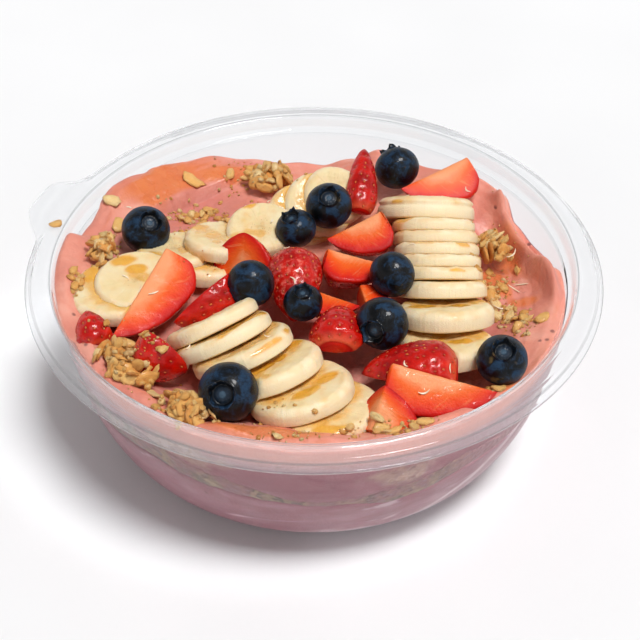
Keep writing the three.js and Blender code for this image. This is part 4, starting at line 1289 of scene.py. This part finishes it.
# ---------------------------------------------------------------- the coconut
# Dried coconut, shredded into thin white strips that curl, and strewn over everything last.
SHREDS = [
    (63.5, 14, 7), (66, 5.5, 5.5), (63.5, 4, 6), (59, -6, 7), (59, -8.5, 5), (31.8, -59, 4), (-53, -12, 5),
    (-49, -15, 4), (-46.5, -39, 6), (-55, 22, 4), (-48, -30, 4), (17, -9, 4), (-33, -62, 5), (44, -64, 4),
]
STREWN_SHREDS = 24
STREWN_WITHIN = 72


def shred(shape, matrix, length, draw):
    """A strip of coconut: flat, narrower at its ends and bent along its length."""
    strip = bmesh.ops.create_uvsphere(shape, u_segments=6, v_segments=9, radius=1)
    bow, lift = draw.uniform(-0.3, 0.3), draw.uniform(0.0, 0.15)
    for vert in strip["verts"]:
        across, thick, along = vert.co
        bend = length * along * along
        side, up = 0.3 * across + bow * bend, 0.16 * thick + lift * bend
        vert.co = matrix @ Vector((0.45 * length * along, side, up))


coconut, tree, shader = new_material("dried_coconut")
where = object_place(tree)
dried = clouds(tree, where, 500, 3)
feed(
    tree, shader,
    Base_Color=ramp(tree, dried, (0.35, tint(232, 206, 172)), (0.6, tint(243, 228, 204))),
    Roughness=uneven_gloss(tree, where, 700, 2, 0.5, 0.3, 0.7, 0.35, 0.55),
    Normal=fine_grain(tree, where, 1800, 3, 0.5, 0.0001),
)
shreds = bmesh.new()
for x, y, length in SHREDS:
    place = laid(x, y, 0.25, draw, 0.2)
    if place is not None:
        shred(shreds, place, length, draw)
for i in range(STREWN_SHREDS):
    away, way = STREWN_WITHIN * math.sqrt(draw.random()), draw.uniform(0, math.tau)
    place = laid(away * math.cos(way), away * math.sin(way), 0.2, draw, 0.2)
    if place is not None:
        shred(shreds, place, draw.uniform(2.0, 4.2), draw)
finished("coconut_shreds", shreds, [coconut], "granola")

# ---------------------------------------------------------------- the floor, the light and the camera
# A plain pale floor under a pale room, with a soft lamp high up at the front right and a weak
# lamp over the food. The camera looks down at the bowl from the front.
floor_shape = bmesh.new()
bmesh.ops.create_grid(floor_shape, x_segments=1, y_segments=1, size=4)
floor_mesh = bpy.data.meshes.new("floor")
floor_shape.to_mesh(floor_mesh)
floor_shape.free()
floor = bpy.data.objects.new("floor", floor_mesh)
bpy.context.scene.collection.objects.link(floor)
paper, tree, shader = new_material("pale_floor")
where = object_place(tree)
paper_shades = (0.3, (0.86, 0.86, 0.865, 1)), (0.7, (0.89, 0.89, 0.895, 1))
feed(tree, shader, Base_Color=ramp(tree, clouds(tree, where, 12, 2), *paper_shades), Roughness=0.7)
floor_mesh.materials.append(paper)

world = bpy.data.worlds.new("studio")
bpy.context.scene.world = world
world.use_nodes = True
tree = world.node_tree
sky = add(tree, "TexCoord").outputs["Generated"]
height = add(tree, "SeparateXYZ", {"Vector": sky}).outputs["Z"]
walls = ramp(tree, height, (0.0, (1, 1, 1, 1)), (0.45, (1, 1, 1, 1)), (0.6, (0.3, 0.3, 0.305, 1)))
tree.links.new(walls, tree.nodes["Background"].inputs["Color"])
tree.nodes["Background"].inputs["Strength"].default_value = 0.7


LIT_POINT = Vector((0, 0, 0.05))


def lamp(name, kind, at, **settings):
    light = bpy.data.lights.new(name, kind)
    for setting, value in settings.items():
        setattr(light, setting, value)
    holder = bpy.data.objects.new(name, light)
    holder.location = at
    holder.rotation_euler = (LIT_POINT - Vector(at)).to_track_quat("-Z", "Y").to_euler()
    bpy.context.scene.collection.objects.link(holder)


lamp("key_lamp", "SUN", (0.29, -0.2, 1.0), energy=2.62, angle=math.radians(20))
lamp(
    "food_lamp", "SPOT", (0.12, -0.36, 0.86), energy=3.2, shadow_soft_size=0.025,
    spot_size=math.radians(12.5), spot_blend=0.7,
)

AIM = Vector((0.00185, 0, 0.0384))
DISTANCE = 0.6
ELEVATION = math.radians(40)
SENSOR_WIDTH = 36
FOCAL_PIXELS = 1882
IMAGE_PIXELS = 640
lens = bpy.data.cameras.new("camera")
lens.sensor_width = SENSOR_WIDTH
lens.lens = FOCAL_PIXELS / IMAGE_PIXELS * SENSOR_WIDTH
camera = bpy.data.objects.new("camera", lens)
camera.location = AIM + DISTANCE * Vector((0, -math.cos(ELEVATION), math.sin(ELEVATION)))
camera.rotation_euler = (math.pi / 2 - ELEVATION, 0, 0)
bpy.context.scene.collection.objects.link(camera)
bpy.context.scene.camera = camera
bpy.context.scene.view_settings.view_transform = "Standard"
